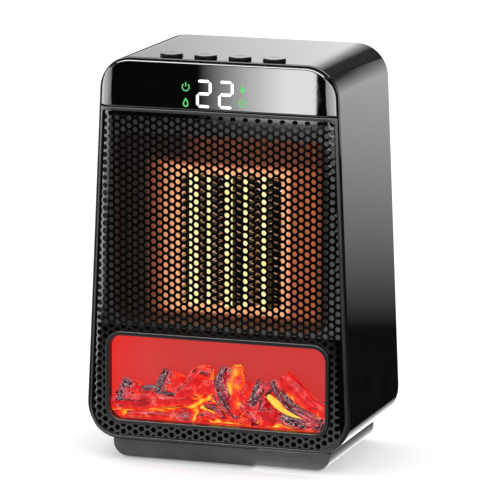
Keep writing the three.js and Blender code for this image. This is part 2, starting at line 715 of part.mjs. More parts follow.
add('fan_shroud', fanShroud(), MATTE_BLACK());
add('fan_impeller', fanImpeller(), DARK_GREY());
add('motor_shaft', motorShaft(), STEEL());
add('fan_motor', fanMotor(), STEEL());

add('main_board', mainBoard(), BOARD());
add('relay_left', relay(-34), RELAY_BLUE());
add('relay_right', relay(24), RELAY_BLUE());
add('supply_capacitor', supplyCapacitor(), RELAY_BLUE());
add('terminal_block', terminalBlock(), CONNECTOR());
add('tilt_switch', tiltSwitch(), CONNECTOR());

add('rear_cover', rearCover(), MATTE_BLACK());
BOSS_PLACES.forEach((place, i) => add(`rear_screw_${i + 1}`, rearScrew(place), STEEL()));
add('cord_inlet', cordInlet(), RUBBER());

add('base', base(), MATTE_GREY());
add('base_plate', basePlate(), MATTE_BLACK());
BASE_SCREW_PLACES.forEach((place, i) => add(`base_screw_${i + 1}`, baseScrew(place), STEEL()));
FOOT_PLACES.forEach((place, i) => add(`foot_${i + 1}`, foot(place), RUBBER()));

export default group;
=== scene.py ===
import json
import math
import random

import bmesh
import bpy
from mathutils import Matrix, Vector, noise
from mathutils.geometry import delaunay_2d_cdt

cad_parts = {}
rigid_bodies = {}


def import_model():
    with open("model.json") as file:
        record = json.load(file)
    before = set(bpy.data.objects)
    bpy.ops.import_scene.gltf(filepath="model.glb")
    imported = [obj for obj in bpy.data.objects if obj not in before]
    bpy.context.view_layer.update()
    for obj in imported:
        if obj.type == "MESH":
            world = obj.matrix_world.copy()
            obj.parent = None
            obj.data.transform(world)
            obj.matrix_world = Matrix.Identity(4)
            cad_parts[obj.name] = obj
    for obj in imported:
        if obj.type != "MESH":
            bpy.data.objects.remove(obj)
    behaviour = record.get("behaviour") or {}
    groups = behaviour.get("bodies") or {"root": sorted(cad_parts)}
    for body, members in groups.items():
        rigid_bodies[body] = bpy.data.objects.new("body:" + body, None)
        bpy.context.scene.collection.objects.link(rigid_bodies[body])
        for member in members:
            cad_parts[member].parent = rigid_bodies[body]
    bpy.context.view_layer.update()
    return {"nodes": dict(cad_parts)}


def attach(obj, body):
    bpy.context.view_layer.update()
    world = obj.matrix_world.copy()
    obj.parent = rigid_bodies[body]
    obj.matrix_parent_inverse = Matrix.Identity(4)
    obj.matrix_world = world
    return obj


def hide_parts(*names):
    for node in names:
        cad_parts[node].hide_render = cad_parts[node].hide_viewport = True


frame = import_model()

# ---------------------------------------------------------------- dimensions, in millimetres
# Shapes are laid out as (x, depth behind the housing's lip, height above the body's underside).
LIP_Y, BODY_Z = -47.3, 12.0
BODY_HEIGHT, BODY_DEPTH = 225.0, 98.4
TOP_HALF, BOTTOM_HALF = 71.0, 80.9
TOP_RADIUS, BOTTOM_RADIUS = 19.5, 21.0
WALL, LIP, GAP = 2.2, 0.9, 0.3
CROWN, CROWN_RUN = 3.5, 8.0
LENS_BOTTOM, BAR_BOTTOM = 196.2, 193.9
SEAT = LIP + GAP
RIM = 1.7
GRILLE_RECESS, GRILLE_THICKNESS = 1.5, 1.2
WINDOW_HALF, WINDOW_BOTTOM, WINDOW_TOP, WINDOW_RADIUS = 65.5, 12.6, 62.4, 7.6
RING_WIDTH, RING_PROUD = 2.4, 0.3
CHAMBER_FRONT, CHAMBER_BACK = 1.5, 9.8
HOLE_ACROSS, HOLE_PITCH, COLUMN_PITCH = 3.1, 4.447, 3.70
HOLE_ORIGIN = (2.0, 0.82)
BUTTON_PITCH, BUTTON_MIDDLE, BUTTON_RADIUS, BUTTON_DEPTH, BUTTON_PROUD = 20.6, -0.55, 6.5, 9.5, 2.0
BUTTON_BODIES = ("power_button", "heat_button", "flame_button", "timer_button")
BUTTON_NODES = ("button_power", "button_heat", "button_flame", "button_timer")
HEATER_HALF, HEATER_BOTTOM, HEATER_TOP = 34.75, 75.0, 159.0
HEATER_FRONT, HEATER_BACK = 19.5, 34.5
BARS = [(-21.6, 5.8), (-12.5, 2.4), (-1.1, 5.4), (9.6, 2.4), (20.4, 4.2)]
FAN_MIDDLE = 114.0
COVER_FRONT, COVER_BACK = 94.2, 96.9
BASE_HEIGHT, BASE_HALF, BASE_RADIUS, BASE_FRONT, BASE_BACK = 11.0, 66.0, 8.5, 5.0, 94.0


def at(x, y, z):
    return Vector((x, y + LIP_Y, z + BODY_Z)) / 1000


# ---------------------------------------------------------------- outlines
def half_width(z):
    return BOTTOM_HALF + (TOP_HALF - BOTTOM_HALF) * z / BODY_HEIGHT


def outline(corners, arc=14, edge=40):
    """Points (x, z) round a polygon of corners (x, z, radius). Straight edges are divided finely near their ends."""
    arcs = []
    for i, (x, z, radius) in enumerate(corners):
        here = Vector((x, z))
        back = (Vector(corners[i - 1][:2]) - here).normalized()
        ahead = (Vector(corners[(i + 1) % len(corners)][:2]) - here).normalized()
        half = math.acos(max(-1, min(1, back.dot(ahead)))) / 2
        radius = max(radius, 0.02)
        centre = here + (back + ahead).normalized() * radius / math.sin(half)
        start = here + back * radius / math.tan(half) - centre
        sweep = math.pi - 2 * half
        first = math.atan2(start.y, start.x)
        arcs.append([centre + Vector((math.cos(first + sweep * k / arc),
                                      math.sin(first + sweep * k / arc))) * radius
                     for k in range(arc + 1)])
    points = []
    for i, bend in enumerate(arcs):
        points.extend(bend)
        end = arcs[(i + 1) % len(arcs)][0]
        for k in range(1, edge):
            points.append(bend[-1].lerp(end, (1 - math.cos(math.pi * k / edge)) / 2))
    return points


def body_outline(inset, low=None, high=None, low_radius=None, high_radius=None):
    low = inset if low is None else low
    high = BODY_HEIGHT - inset if high is None else high
    low_radius = BOTTOM_RADIUS - inset if low_radius is None else low_radius
    high_radius = TOP_RADIUS - inset if high_radius is None else high_radius
    b, t = half_width(low) - inset, half_width(high) - inset
    return outline([(-b, low, low_radius), (b, low, low_radius), (t, high, high_radius),
                    (-t, high, high_radius)])


def bezel_outer(inset):
    return body_outline(inset, high=LENS_BOTTOM - GAP - (inset - SEAT), high_radius=0)


def bezel_opening(inset):
    return body_outline(inset, high=BAR_BOTTOM - (inset - SEAT - RIM), high_radius=1.8)


def lens_outline(inset):
    return body_outline(inset, low=LENS_BOTTOM + inset - SEAT, low_radius=0)


def window_outline(grow, arc=14, edge=40):
    radius = max(WINDOW_RADIUS + grow, 0.2)
    x, low, high = WINDOW_HALF + grow, WINDOW_BOTTOM - grow, WINDOW_TOP + grow
    return outline([(-x, low, radius), (x, low, radius), (x, high, radius), (-x, high, radius)], arc, edge)


def circle(x, z, radius, sides=48):
    return [Vector((x + radius * math.cos(2 * math.pi * k / sides),
                    z + radius * math.sin(2 * math.pi * k / sides)))
            for k in range(sides)]


def crowned(point, depth=0.0):
    """Depth of the front at a point: flat in the middle, curving back over the last few millimetres at each side."""
    x, z = point
    arc = (CROWN_RUN ** 2 + CROWN ** 2) / (2 * CROWN)
    run = min(max(abs(x) - (half_width(z) - LIP - CROWN_RUN), 0), CROWN_RUN + 0.5)
    return depth - CROWN + arc - math.sqrt(arc ** 2 - run ** 2)


# ---------------------------------------------------------------- meshes
def mesh_object(name, points, faces, material, sharp=32, tidy=True):
    mesh = bpy.data.meshes.new(name)
    mesh.from_pydata([tuple(p) for p in points], [], faces)
    if tidy:
        work = bmesh.new()
        work.from_mesh(mesh)
        bmesh.ops.remove_doubles(work, verts=work.verts, dist=2e-6)
        bmesh.ops.dissolve_degenerate(work, edges=work.edges, dist=1e-7)
        bmesh.ops.recalc_face_normals(work, faces=work.faces)
        work.to_mesh(mesh)
        work.free()
    mesh.polygons.foreach_set("use_smooth", [True] * len(mesh.polygons))
    mesh.set_sharp_from_angle(angle=math.radians(sharp))
    obj = bpy.data.objects.new(name, mesh)
    bpy.context.scene.collection.objects.link(obj)
    mesh.materials.append(material)
    return obj


def skin(name, loops, material, start=False, end=False, wrap=False, sharp=32):
    """A surface through loops with the same number of points; start and end close it with a face."""
    count = len(loops[0])
    faces = []
    for a in range(len(loops) if wrap else len(loops) - 1):
        b = (a + 1) % len(loops)
        faces.extend((a * count + i, a * count + (i + 1) % count, b * count + (i + 1) % count, b * count + i)
                     for i in range(count))
    if start:
        faces.append(tuple(range(count)))
    if end:
        faces.append(tuple((len(loops) - 1) * count + i for i in reversed(range(count))))
    return mesh_object(name, [p for loop in loops for p in loop], faces, material, sharp)


def level(points, y):
    return [at(p[0], y, p[1]) for p in points]


def on_front(points, depth):
    return [at(p[0], crowned(p, depth), p[1]) for p in points]


def quarter(radius, steps=5):
    """(inset, setback) pairs of a rounded edge, from its side to its face."""
    return [(radius * (1 - math.cos(math.pi / 2 * k / steps)),
             radius * (1 - math.sin(math.pi / 2 * k / steps)))
            for k in range(steps + 1)]


def lathe(name, centre, profile, material, axis="z", sides=64, sharp=32):
    """Turned about a line through centre (x, y, z), from a closed profile of (radius, along)."""
    loops = []
    for k in range(sides):
        turn = 2 * math.pi * k / sides
        c, s = math.cos(turn), math.sin(turn)
        x, y, z = centre
        if axis == "z":
            loops.append([at(x + r * c, y + r * s, z + h) for r, h in profile])
        else:
            loops.append([at(x + r * c, y + h, z + r * s) for r, h in profile])
    return skin(name, loops, material, wrap=True, sharp=sharp)


def flat_plate(name, shape, depth_front, depth_back, material, bevel=0.1):
    """A thin raised symbol: its outline shrinks a little at its face."""
    middle = sum(shape, Vector((0, 0))) / len(shape)
    inner = [p + (middle - p).normalized() * bevel for p in shape]
    return skin(name, [level(shape, depth_back), level(shape, depth_front + bevel),
                       level(inner, depth_front)],
                material, start=True, end=True)


def cut(obj, *tools):
    """Takes the tools' volumes out of obj and removes the tools."""
    for tool in tools:
        modifier = obj.modifiers.new("cut", "BOOLEAN")
        modifier.operation, modifier.solver, modifier.object = "DIFFERENCE", "EXACT", tool
    shaped = bpy.data.meshes.new_from_object(obj.evaluated_get(bpy.context.evaluated_depsgraph_get()))
    obj.modifiers.clear()
    obj.data = shaped
    shaped.polygons.foreach_set("use_smooth", [True] * len(shaped.polygons))
    shaped.set_sharp_from_angle(angle=math.radians(32))
    for tool in tools:
        bpy.data.objects.remove(tool)
    return obj


def join(name, *objs):
    """One object of several, with their materials."""
    for o in bpy.context.selected_objects:
        o.select_set(False)
    for o in objs:
        o.select_set(True)
    bpy.context.view_layer.objects.active = objs[0]
    bpy.ops.object.join()
    objs[0].name = name
    return objs[0]


def weighted(obj):
    modifier = obj.modifiers.new("even shading", "WEIGHTED_NORMAL")
    modifier.keep_sharp = True
    return obj


def divided(loop, step):
    """A closed line with its long stretches divided."""
    points = []
    for a, b in zip(loop, loop[1:] + loop[:1]):
        parts = max(1, math.ceil((b - a).length / step))
        points.extend(a.lerp(b, i / parts) for i in range(parts))
    return points


def perforated(name, border, window, holes, front, back, material, chamfer=0.2, loose=(), wall=None):
    """A sheet between two faces, with a border, a window (or None) and convex holes, each a list of (x, z)."""
    loops = [border] + ([window] if window else []) + holes
    flat, owner, edges = [], [], []
    for index, loop in enumerate(loops):
        base = len(flat)
        flat.extend(Vector(p) for p in loop)
        owner.extend([index] * len(loop))
        edges.extend((base + i, base + (i + 1) % len(loop)) for i in range(len(loop)))
    flat.extend(loose)
    owner.extend([-1] * len(loose))
    _, _, triangles, origins, _, _ = delaunay_2d_cdt(flat, edges, [], 0, 1e-6, True)
    known = {}
    for new, olds in enumerate(origins):
        for old in olds:
            known[old] = new
    source = {new: old for old, new in known.items()}
    kept = []
    for tri in triangles:
        if any(v not in source for v in tri):
            continue
        owners = {owner[source[v]] if v in source else -1 for v in tri}
        if len(owners) == 1 and not owners & {0, -1}:
            continue
        kept.append(tuple(tri))
    count = len(flat)
    points, faces = [], []
    centres = [sum((Vector(p) for p in loop), Vector((0, 0))) / len(loop) for loop in loops]
    drawn = []
    for i, p in enumerate(flat):
        if owner[i] < 1 or (window and owner[i] == 1):
            drawn.append(p)
        else:
            inward = centres[owner[i]] - p
            drawn.append(p + inward * min(chamfer / max(inward.length, 1e-6), 0.4))
    points.extend(at(p.x, front(p), p.y) for p in flat)
    points.extend(at(d.x, front(d) + chamfer, d.y) for d in drawn)
    points.extend(at(d.x, back(d), d.y) for d in drawn)
    for tri in kept:
        a, b, c = (source[v] for v in tri)
        faces.append((a, b, c))
        faces.append((c + 2 * count, b + 2 * count, a + 2 * count))
    for a, b in edges:
        faces.append((b, a, a + count, b + count))
        faces.append((b + count, a + count, a + 2 * count, b + 2 * count))
    obj = mesh_object(name, points, faces, material, sharp=40, tidy=False)
    if wall:
        obj.data.materials.append(wall)
        for polygon in obj.data.polygons[2 * len(kept):]:
            polygon.material_index = 1
    work = bmesh.new()
    work.from_mesh(obj.data)
    bmesh.ops.recalc_face_normals(work, faces=work.faces)
    work.to_mesh(obj.data)
    work.free()
    obj.data.set_sharp_from_angle(angle=math.radians(40))
    return obj


def clip(shape, point, normal):
    """The part of a convex shape on the side of a line that normal points to."""
    kept = []
    for i, a in enumerate(shape):
        b = shape[(i + 1) % len(shape)]
        da, db = (a - point).dot(normal), (b - point).dot(normal)
        if da >= 0:
            kept.append(a)
        if (da > 0) != (db > 0) and abs(da - db) > 1e-9:
            kept.append(a.lerp(b, da / (da - db)))
    return kept


def area(shape):
    return abs(sum(a.x * b.y - b.x * a.y for a, b in zip(shape, shape[1:] + shape[:1]))) / 2


def nearest(loop, point):
    """Nearest point of a closed line, and the direction from the line to the point."""
    best = None
    for a, b in zip(loop, loop[1:] + loop[:1]):
        along = b - a
        t = max(0.0, min(1.0, (point - a).dot(along) / max(along.length_squared, 1e-12)))
        spot = a + along * t
        gap = (point - spot).length
        if best is None or gap < best[0]:
            best = (gap, spot)
    return best


def inside(loop, point):
    return all((b - a).cross(point - a) >= 0 for a, b in zip(loop, loop[1:] + loop[:1]))


def hexagon(x, z, across, soft=0.45):
    """A hexagon with points to left and right and softened corners."""
    reach = across / math.sqrt(3)
    corners = [Vector((x + reach * math.cos(math.pi / 3 * k), z + reach * math.sin(math.pi / 3 * k)))
               for k in range(6)]
    shape = []
    for k, here in enumerate(corners):
        before, after = corners[k - 1], corners[(k + 1) % 6]
        shape.append(here + (before - here).normalized() * soft)
        shape.append(here + ((before - here).normalized() + (after - here).normalized()) * soft * 0.27)
        shape.append(here + (after - here).normalized() * soft)
    return shape


# ---------------------------------------------------------------- materials
class Graph:
    """A material's nodes. Object coordinates are the frame's own, in metres."""

    def __init__(self, name):
        self.material = bpy.data.materials.new(name)
        self.material.use_nodes = True
        self.tree = self.material.node_tree
        self.tree.nodes.clear()
        self.space = self.add("ShaderNodeTexCoord").outputs["Object"]

    def add(self, kind, inputs=None, **settings):
        node = self.tree.nodes.new(kind)
        for key, value in settings.items():
            setattr(node, key, value)
        for key, value in (inputs or {}).items():
            if isinstance(value, bpy.types.NodeSocket):
                self.tree.links.new(value, node.inputs[key])
            else:
                node.inputs[key].default_value = value
        return node

    def noise(self, scale, detail=3.0, roughness=0.5, vector=None, distortion=0.0):
        return self.add("ShaderNodeTexNoise",
                        {"Vector": vector or self.space, "Scale": scale, "Detail": detail,
                                               "Roughness": roughness, "Distortion": distortion}).outputs[0]

    def stretch(self, scale, rotation=(0, 0, 0), vector=None):
        return self.add("ShaderNodeMapping", {"Vector": vector or self.space, "Scale": scale,
                                              "Rotation": rotation}).outputs[0]

    def calc(self, operation, a, b=0.0, c=None):
        inputs = {0: a, 1: b}
        if c is not None:
            inputs[2] = c
        return self.add("ShaderNodeMath", inputs, operation=operation).outputs[0]

    def part(self, axis, vector=None):
        return self.add("ShaderNodeSeparateXYZ", {0: vector or self.space}).outputs[axis]

    def between(self, value, low, high, to_low=0.0, to_high=1.0):
        return self.add("ShaderNodeMapRange", {"Value": value, "From Min": low, "From Max": high,
                                               "To Min": to_low, "To Max": to_high}, clamp=True).outputs[0]

    def ramp(self, value, stops, interpolation="LINEAR"):
        node = self.add("ShaderNodeValToRGB", {0: value})
        node.color_ramp.interpolation = interpolation
        elements = node.color_ramp.elements
        while len(elements) > 1:
            elements.remove(elements[-1])
        for i, (place, colour) in enumerate(stops):
            element = elements[0] if i == 0 else elements.new(place)
            element.position = place
            element.color = (*colour, 1) if len(colour) == 3 else colour
        return node.outputs[0]

    def mix(self, share, a, b):
        node = self.add("ShaderNodeMix", data_type="RGBA")
        for index, value in ((0, share), (6, a), (7, b)):
            if isinstance(value, bpy.types.NodeSocket):
                self.tree.links.new(value, node.inputs[index])
            else:
                node.inputs[index].default_value = (*value, 1) if isinstance(value,
                                                                             tuple) and len(value) == 3 else value
        return node.outputs[2]

    def bump(self, height, distance, strength=1.0):
        return self.add("ShaderNodeBump", {"Height": height, "Distance": distance,
                                           "Strength": strength}).outputs[0]

    def surface(self, **inputs):
        names = {key.replace("_", " ").title().replace("Ior", "IOR"): value for key, value in inputs.items()}
        shader = self.add("ShaderNodeBsdfPrincipled")
        for key, value in names.items():
            if isinstance(value, bpy.types.NodeSocket):
                self.tree.links.new(value, shader.inputs[key])
            elif isinstance(value, tuple) and len(value) == 3:
                shader.inputs[key].default_value = (*value, 1)
            else:
                shader.inputs[key].default_value = value
        self.add("ShaderNodeOutputMaterial", {0: shader.outputs[0]})
        return self.material


def plastic(name, colour, roughness, grain=0.15, scale=900.0, relief=0.00002, ior=1.5, speckle=0.25):
    """Moulded plastic: colour and gloss vary slightly, with a fine grain."""
    g = Graph(name)
    broad = g.noise(60.0, 4.0)
    fine = g.noise(scale, 2.0)
    darker = tuple(c * (1 - speckle) for c in colour)
    lighter = tuple(min(c * (1 + speckle), 1) for c in colour)
    tint = g.mix(g.between(broad, 0.3, 0.7), darker, lighter)
    gloss = g.between(fine, 0.3, 0.7, roughness * (1 - grain), roughness * (1 + grain))
    return g.surface(base_color=tint, roughness=gloss, ior=ior, normal=g.bump(fine, relief, 0.3))


def metal(name, colour, roughness, brushed=(1, 1, 1)):
    g = Graph(name)
    streaks = g.noise(700.0, 3.0, vector=g.stretch(brushed))
    tint = g.mix(g.between(streaks, 0.3, 0.7), tuple(c * 0.8 for c in colour), colour)
    gloss = g.between(streaks, 0.3, 0.7, roughness * 0.75, roughness * 1.3)
    return g.surface(base_color=tint, metallic=1.0, roughness=gloss, normal=g.bump(streaks, 0.00003, 0.3))


def board_finish(name):
    """A printed circuit board: solder mask over faint tracks, with bright pads."""
    g = Graph(name)
    tracks = g.add("ShaderNodeTexBrick",
                   {"Vector": g.stretch((1, 1, 1)), "Scale": 160.0, "Mortar Size": 0.03},
                   offset=0.35).outputs[0]
    pads = g.add("ShaderNodeTexVoronoi", {"Vector": g.space, "Scale": 260.0}).outputs[0]
    mask = g.mix(g.noise(300.0), (0.008, 0.07, 0.025), (0.012, 0.10, 0.035))
    traced = g.mix(g.calc("MULTIPLY", tracks, 0.35), mask, (0.02, 0.16, 0.06))
    tint = g.mix(g.between(pads, 0.12, 0.08), traced, (0.55, 0.5, 0.42))
    return g.surface(base_color=tint, roughness=g.between(pads, 0.05, 0.2, 0.25, 0.45))


def glow(name, colour, strength, spread=0.15, scale=500.0):
    """A lit surface whose brightness varies a little."""
    g = Graph(name)
    flicker = g.between(g.noise(scale, 2.0), 0.3, 0.7, 1 - spread, 1 + spread)
    return g.surface(base_color=tuple(c * 0.6 for c in colour), emission_color=colour,
                     emission_strength=g.calc("MULTIPLY", flicker, strength), roughness=0.5)


HOUSING = plastic("housing gloss", (0.0052, 0.0052, 0.0056), 0.05, relief=0.000004, scale=350.0)
LENS = plastic("lens gloss", (0.0022, 0.0022, 0.0024), 0.03, relief=0.000002, scale=300.0, ior=2.0)
BEZEL = plastic("bezel satin", (0.018, 0.018, 0.019), 0.34, relief=0.00004, scale=1600.0)
HOLE_WALL = plastic("grille hole wall", (0.0030, 0.0028, 0.0028), 0.55, ior=1.2)
GRILLE = plastic("grille black", (0.0022, 0.0021, 0.0021), 0.065, relief=0.00001, scale=1300.0, ior=1.75)
BASE = plastic("base satin", (0.066, 0.066, 0.068), 0.42, relief=0.00004, scale=1500.0)
RING = plastic("ring satin", (0.006, 0.006, 0.0065), 0.30, relief=0.00003, scale=1600.0)
# Painted shade: the base's sides and back get a dark gloss whose low IOR dims their reflections.
PLINTH_SHADED = plastic("plinth gloss painted shade", (0.006, 0.006, 0.0065), 0.16, relief=0.00001, scale=500.0, ior=1.12)
# Painted shade: the buttons' sides get a darker copy of the button plastic whose low IOR dims their reflections.
BUTTON_SIDE_SHADED = plastic("button side painted shade", (0.004, 0.004, 0.0045), 0.35, ior=1.12)
BUTTON = plastic("button gloss", (0.006, 0.006, 0.007), 0.10, relief=0.00001, scale=500.0)
INNER = plastic("inner black", (0.012, 0.012, 0.013), 0.5)
BAFFLE = plastic("baffle grey", (0.07, 0.066, 0.064), 0.55)
COVER = plastic("rear cover black", (0.014, 0.014, 0.015), 0.42, relief=0.00005, scale=1400.0)
RUBBER = plastic("rubber", (0.012, 0.012, 0.012), 0.8, relief=0.00006, scale=1100.0)
BLUE = plastic("part blue", (0.03, 0.09, 0.35), 0.4)
IVORY = plastic("part ivory", (0.65, 0.62, 0.52), 0.45)
STEEL = metal("steel", (0.55, 0.56, 0.57), 0.3)
CIRCUIT = board_finish("circuit board")
DIGIT_LIGHT = glow("digit light", (1.0, 1.0, 1.0), 1.35, 0.06)
ICON_LIGHT = glow("icon light", (0.055, 0.46, 0.08), 0.8, 0.12)


# ---------------------------------------------------------------- housing
def make_housing():
    edge, rear = 0.75, 1.1
    loops = [level(body_outline(WALL), 97.9), level(body_outline(WALL), 4.3), level(body_outline(LIP), 4.3),
             level(body_outline(LIP), 0.15), level(body_outline(LIP - 0.08), 0.03)]
    loops += [level(body_outline(i), y) for i, y in reversed(quarter(edge, 6))]
    loops += [level(body_outline(0), 1.4), level(body_outline(0), 50),
              level(body_outline(0), BODY_DEPTH - 1.9)]
    loops += [level(body_outline(i), BODY_DEPTH - y) for i, y in quarter(rear, 6)]
    loops += [level(body_outline(WALL - 0.25), BODY_DEPTH), level(body_outline(WALL), BODY_DEPTH - 0.25)]
    shell = skin("housing_shell", loops, HOUSING, wrap=True)
    tools = [lathe("tool", (x, BUTTON_DEPTH, BODY_HEIGHT),
                   [(0.001, -6), (BUTTON_RADIUS + GAP, -6), (BUTTON_RADIUS + GAP, 3), (0.001, 3)], HOUSING)
             for x in button_places()]
    return weighted(cut(shell, *tools))


def button_places():
    return [BUTTON_MIDDLE + (i - 1.5) * BUTTON_PITCH for i in range(4)]


def make_bezel():
    loops = [level(bezel_outer(SEAT), 4.0)]
    loops += [on_front(bezel_outer(SEAT + i), y) for i, y in quarter(0.5)]
    loops += [on_front(bezel_opening(SEAT + RIM - i), y) for i, y in reversed(quarter(0.45))]
    loops += [on_front(bezel_opening(SEAT + RIM), 1.2), level(bezel_opening(SEAT + RIM), 4.0)]
    return weighted(skin("front_bezel_trim", loops, BEZEL, wrap=True))


def make_lens():
    loops = [level(lens_outline(SEAT), 0.6)]
    loops += [on_front(lens_outline(SEAT + i), y) for i, y in quarter(1.1, 8)]
    loops += [on_front(lens_outline(SEAT + i), 0) for i in (1.25, 1.6, 2.2, 3, 4, 5, 6, 7, 8)]
    return weighted(skin("display_lens_cap", loops, LENS, start=True, end=True))


def make_ring():
    front = -CROWN - RING_PROUD
    loops = [level(window_outline(RING_WIDTH), 1.2)]
    loops += [level(window_outline(RING_WIDTH - i), front + y) for i, y in quarter(0.5)]
    loops += [level(window_outline(i), front + y) for i, y in reversed(quarter(0.6))]
    loops += [level(window_outline(0), 1.2)]
    return weighted(skin("window_ring", loops, RING, wrap=True))


def bent(p):
    """Where a point of the flat sheet comes to lie, seen from the front, once its sides are curved back."""
    arc = (CROWN_RUN ** 2 + CROWN ** 2) / (2 * CROWN)
    start = half_width(p.y) - LIP - CROWN_RUN
    run = abs(p.x) - start
    if run <= 0:
        return p
    return Vector((math.copysign(start + arc * math.sin(min(run / arc, 1.4)), p.x), p.y))


def make_grille():
    edge = divided(bezel_opening(SEAT + RIM + 0.25), 1.2)
    border = bezel_opening(SEAT + RIM + 0.6)
    window = window_outline(RING_WIDTH + 0.25)
    keep_off = window_outline(RING_WIDTH + 0.45)
    holes, middles = [], []
    for column in range(-25, 24):
        x = HOLE_ORIGIN[0] + column * COLUMN_PITCH
        shift = HOLE_ORIGIN[1] + (HOLE_PITCH / 2 if column % 2 else 0)
        for row in range(-1, 46):
            centre = bent(Vector((x, shift + row * HOLE_PITCH)))
            if not inside(border, centre) and nearest(border, centre)[0] > HOLE_ACROSS:
                continue
            shape = [bent(p) for p in hexagon(x, centre.y, HOLE_ACROSS)]
            whole = area(shape)
            if not all(inside(border, p) for p in shape):
                for a, b in zip(border, border[1:] + border[:1]):
                    shape = clip(shape, a, Vector((a.y - b.y, b.x - a.x))) if (b - a).length > 1e-6 else shape
            gap, spot = nearest(keep_off, centre)
            covered = inside(keep_off, centre)
            if covered and gap > HOLE_ACROSS / 2:
                shape = []
            elif gap < HOLE_ACROSS:
                shape = clip(shape, spot, (spot - centre if covered else centre - spot).normalized())
            if len(shape) > 2 and area(shape) > 0.16 * whole:
                holes.append([p for i, p in enumerate(shape) if (p - shape[i - 1]).length > 0.02])
                middles.append(centre)
    loose = []
    for inset in (0.7, 1.2, 1.8, 2.5, 3.3, 4.2, 5.2, 6.3, 7.5):
        for p in divided(bezel_opening(SEAT + RIM + 0.25 + inset), 1.1):
            if all((p - m).length > 0.62 * HOLE_ACROSS for m in middles) and not inside(keep_off, p):
                loose.append(p)
    return perforated("front_grille_mesh", edge, window, holes, lambda p: crowned(p, GRILLE_RECESS),
                      lambda p: crowned(p, GRILLE_RECESS + GRILLE_THICKNESS), GRILLE, 0.07, loose, HOLE_WALL)


# ---------------------------------------------------------------- flame window
def chamber_finish():
    """Translucent red lit from behind: brighter towards the left wall and the floor."""
    g = Graph("chamber red")
    # Painted light: left and low make the glow brighter towards the left wall and the floor.
    left = g.between(g.part(0), -0.030, -0.066)
    low = g.between(g.part(2), 0.034, 0.024)
    haze = g.noise(45.0, 2.0)
    tint = g.mix(g.between(haze, 0.35, 0.65), (0.56, 0.036, 0.033), (0.62, 0.030, 0.028))
    painted_glow = g.mix(g.calc("MAXIMUM", left, low), tint, (0.76, 0.030, 0.026))
    return g.surface(base_color=(0.10, 0.006, 0.005), emission_color=painted_glow, emission_strength=0.90,
                     roughness=0.5,
                     ior=1.3)


def make_chamber():
    loops = [level(window_outline(2.2), CHAMBER_BACK + 2.2), level(window_outline(2.2), CHAMBER_FRONT),
             level(window_outline(0), CHAMBER_FRONT)]
    loops += [level(window_outline(-i), CHAMBER_BACK - y) for i, y in quarter(1.6)]
    shell = skin("flame_chamber_shell", loops, chamber_finish(), start=True, end=True)
    shell.data.materials.append(INNER)
    for face in shell.data.polygons:
        x, y, z = (v * 1000 for v in face.center)
        outside = not inside(window_outline(0.4), Vector((x, z - BODY_Z)))
        face.material_index = 1 if outside or y - LIP_Y > CHAMBER_BACK + 1 else 0
    return shell


def ember_finish():
    """Moulded embers lit from within, with painted glints and a painted glow on surfaces seen edge-on. Each point's
    heat and sootiness are set by the shape, with painted glow and painted shade on the logs; grain runs along its
    UVs.
    """
    g = Graph("ember glow")
    uv = g.add("ShaderNodeTexCoord").outputs["UV"]
    state = g.add("ShaderNodeUVMap", uv_map="state").outputs[0]
    heat, soot_and_shade = g.part(0, state), g.part(1, state)
    # Painted glow: surfaces turning edge-on are made warmer and brighter.
    painted_rim_glow = g.add("ShaderNodeLayerWeight", {"Blend": 0.5}).outputs["Facing"]
    patch = g.noise(190.0, 3.0)
    grain = g.noise(1.0, 3.0, vector=g.stretch((9.0, 2.2, 1.0), vector=uv), distortion=0.9)
    warm = g.calc("ADD", heat, g.between(patch, 0.2, 0.8, -0.38, 0.22))
    warm = g.calc("ADD", warm, g.between(painted_rim_glow, 0.70, 0.96, 0.0, 0.42))
    tint = g.ramp(warm, [(0.0, (0.30, 0.002, 0.010)), (0.28, (0.62, 0.006, 0.012)),
                         (0.48, (0.86, 0.016, 0.012)),
                         (0.62, (0.95, 0.07, 0.012)), (0.76, (0.98, 0.30, 0.02)), (0.92, (1.0, 0.66, 0.06))])
    # Darkened where sootiness is high: char, and on the logs' lower left also painted shade.
    crust_and_shade = g.calc("ADD", soot_and_shade, g.between(grain, 0.25, 0.75, -0.65, 0.65))
    charred_and_shaded = g.mix(g.between(crust_and_shade, 0.52, 0.66), tint, (0.030, 0.004, 0.010))
    # Painted glints: thin pale streaks on the cooler, sooty parts stand in for highlights.
    fold = g.noise(1.0, 2.0, vector=g.stretch((13.0, 4.5, 1.0), vector=uv), distortion=1.6)
    glint_thread = g.between(g.calc("ABSOLUTE", g.calc("SUBTRACT", fold, 0.5)), 0.019, 0.007)
    painted_glint = g.calc("MULTIPLY", glint_thread, g.between(g.calc("ADD", soot_and_shade, patch), 0.80, 1.10))
    cool = g.between(heat, 0.75, 0.55)
    lit = g.mix(g.calc("MULTIPLY", painted_glint, cool), charred_and_shaded, (0.92, 0.60, 0.68))
    return g.surface(base_color=(0.02, 0.004, 0.003), emission_color=lit, emission_strength=1.0,
                     roughness=0.3,
                     ior=1.25, normal=g.bump(grain, 0.0006, 0.6))


def marked(obj, uvs, heats, soot_and_shade_values):
    """Stores each vertex's grain direction, heat and sootiness; on the logs these carry painted glow and painted
    shade.
    """
    for name, values in (("grain", uvs), ("state", list(zip(heats, soot_and_shade_values)))):
        layer = obj.data.uv_layers.new(name=name)
        for loop in obj.data.loops:
            layer.data[loop.index].uv = values[loop.vertex_index]
    return obj


def follow(points, t):
    """A smooth way through points, t from 0 to 1."""
    place_on = t * (len(points) - 1)
    i = min(int(place_on), len(points) - 2)
    f = place_on - i
    if len(points) > 2:
        before, after = points[max(i - 1, 0)], points[min(i + 2, len(points) - 1)]
        a, b = points[i], points[i + 1]
        return (a * 2 + (b - before) * f + (before * 2 - a * 5 + b * 4 - after) * f ** 2
                + (a * 3 - before - b * 3 + after) * f ** 3) / 2
    return points[i] * (1 - f) + points[i + 1] * f


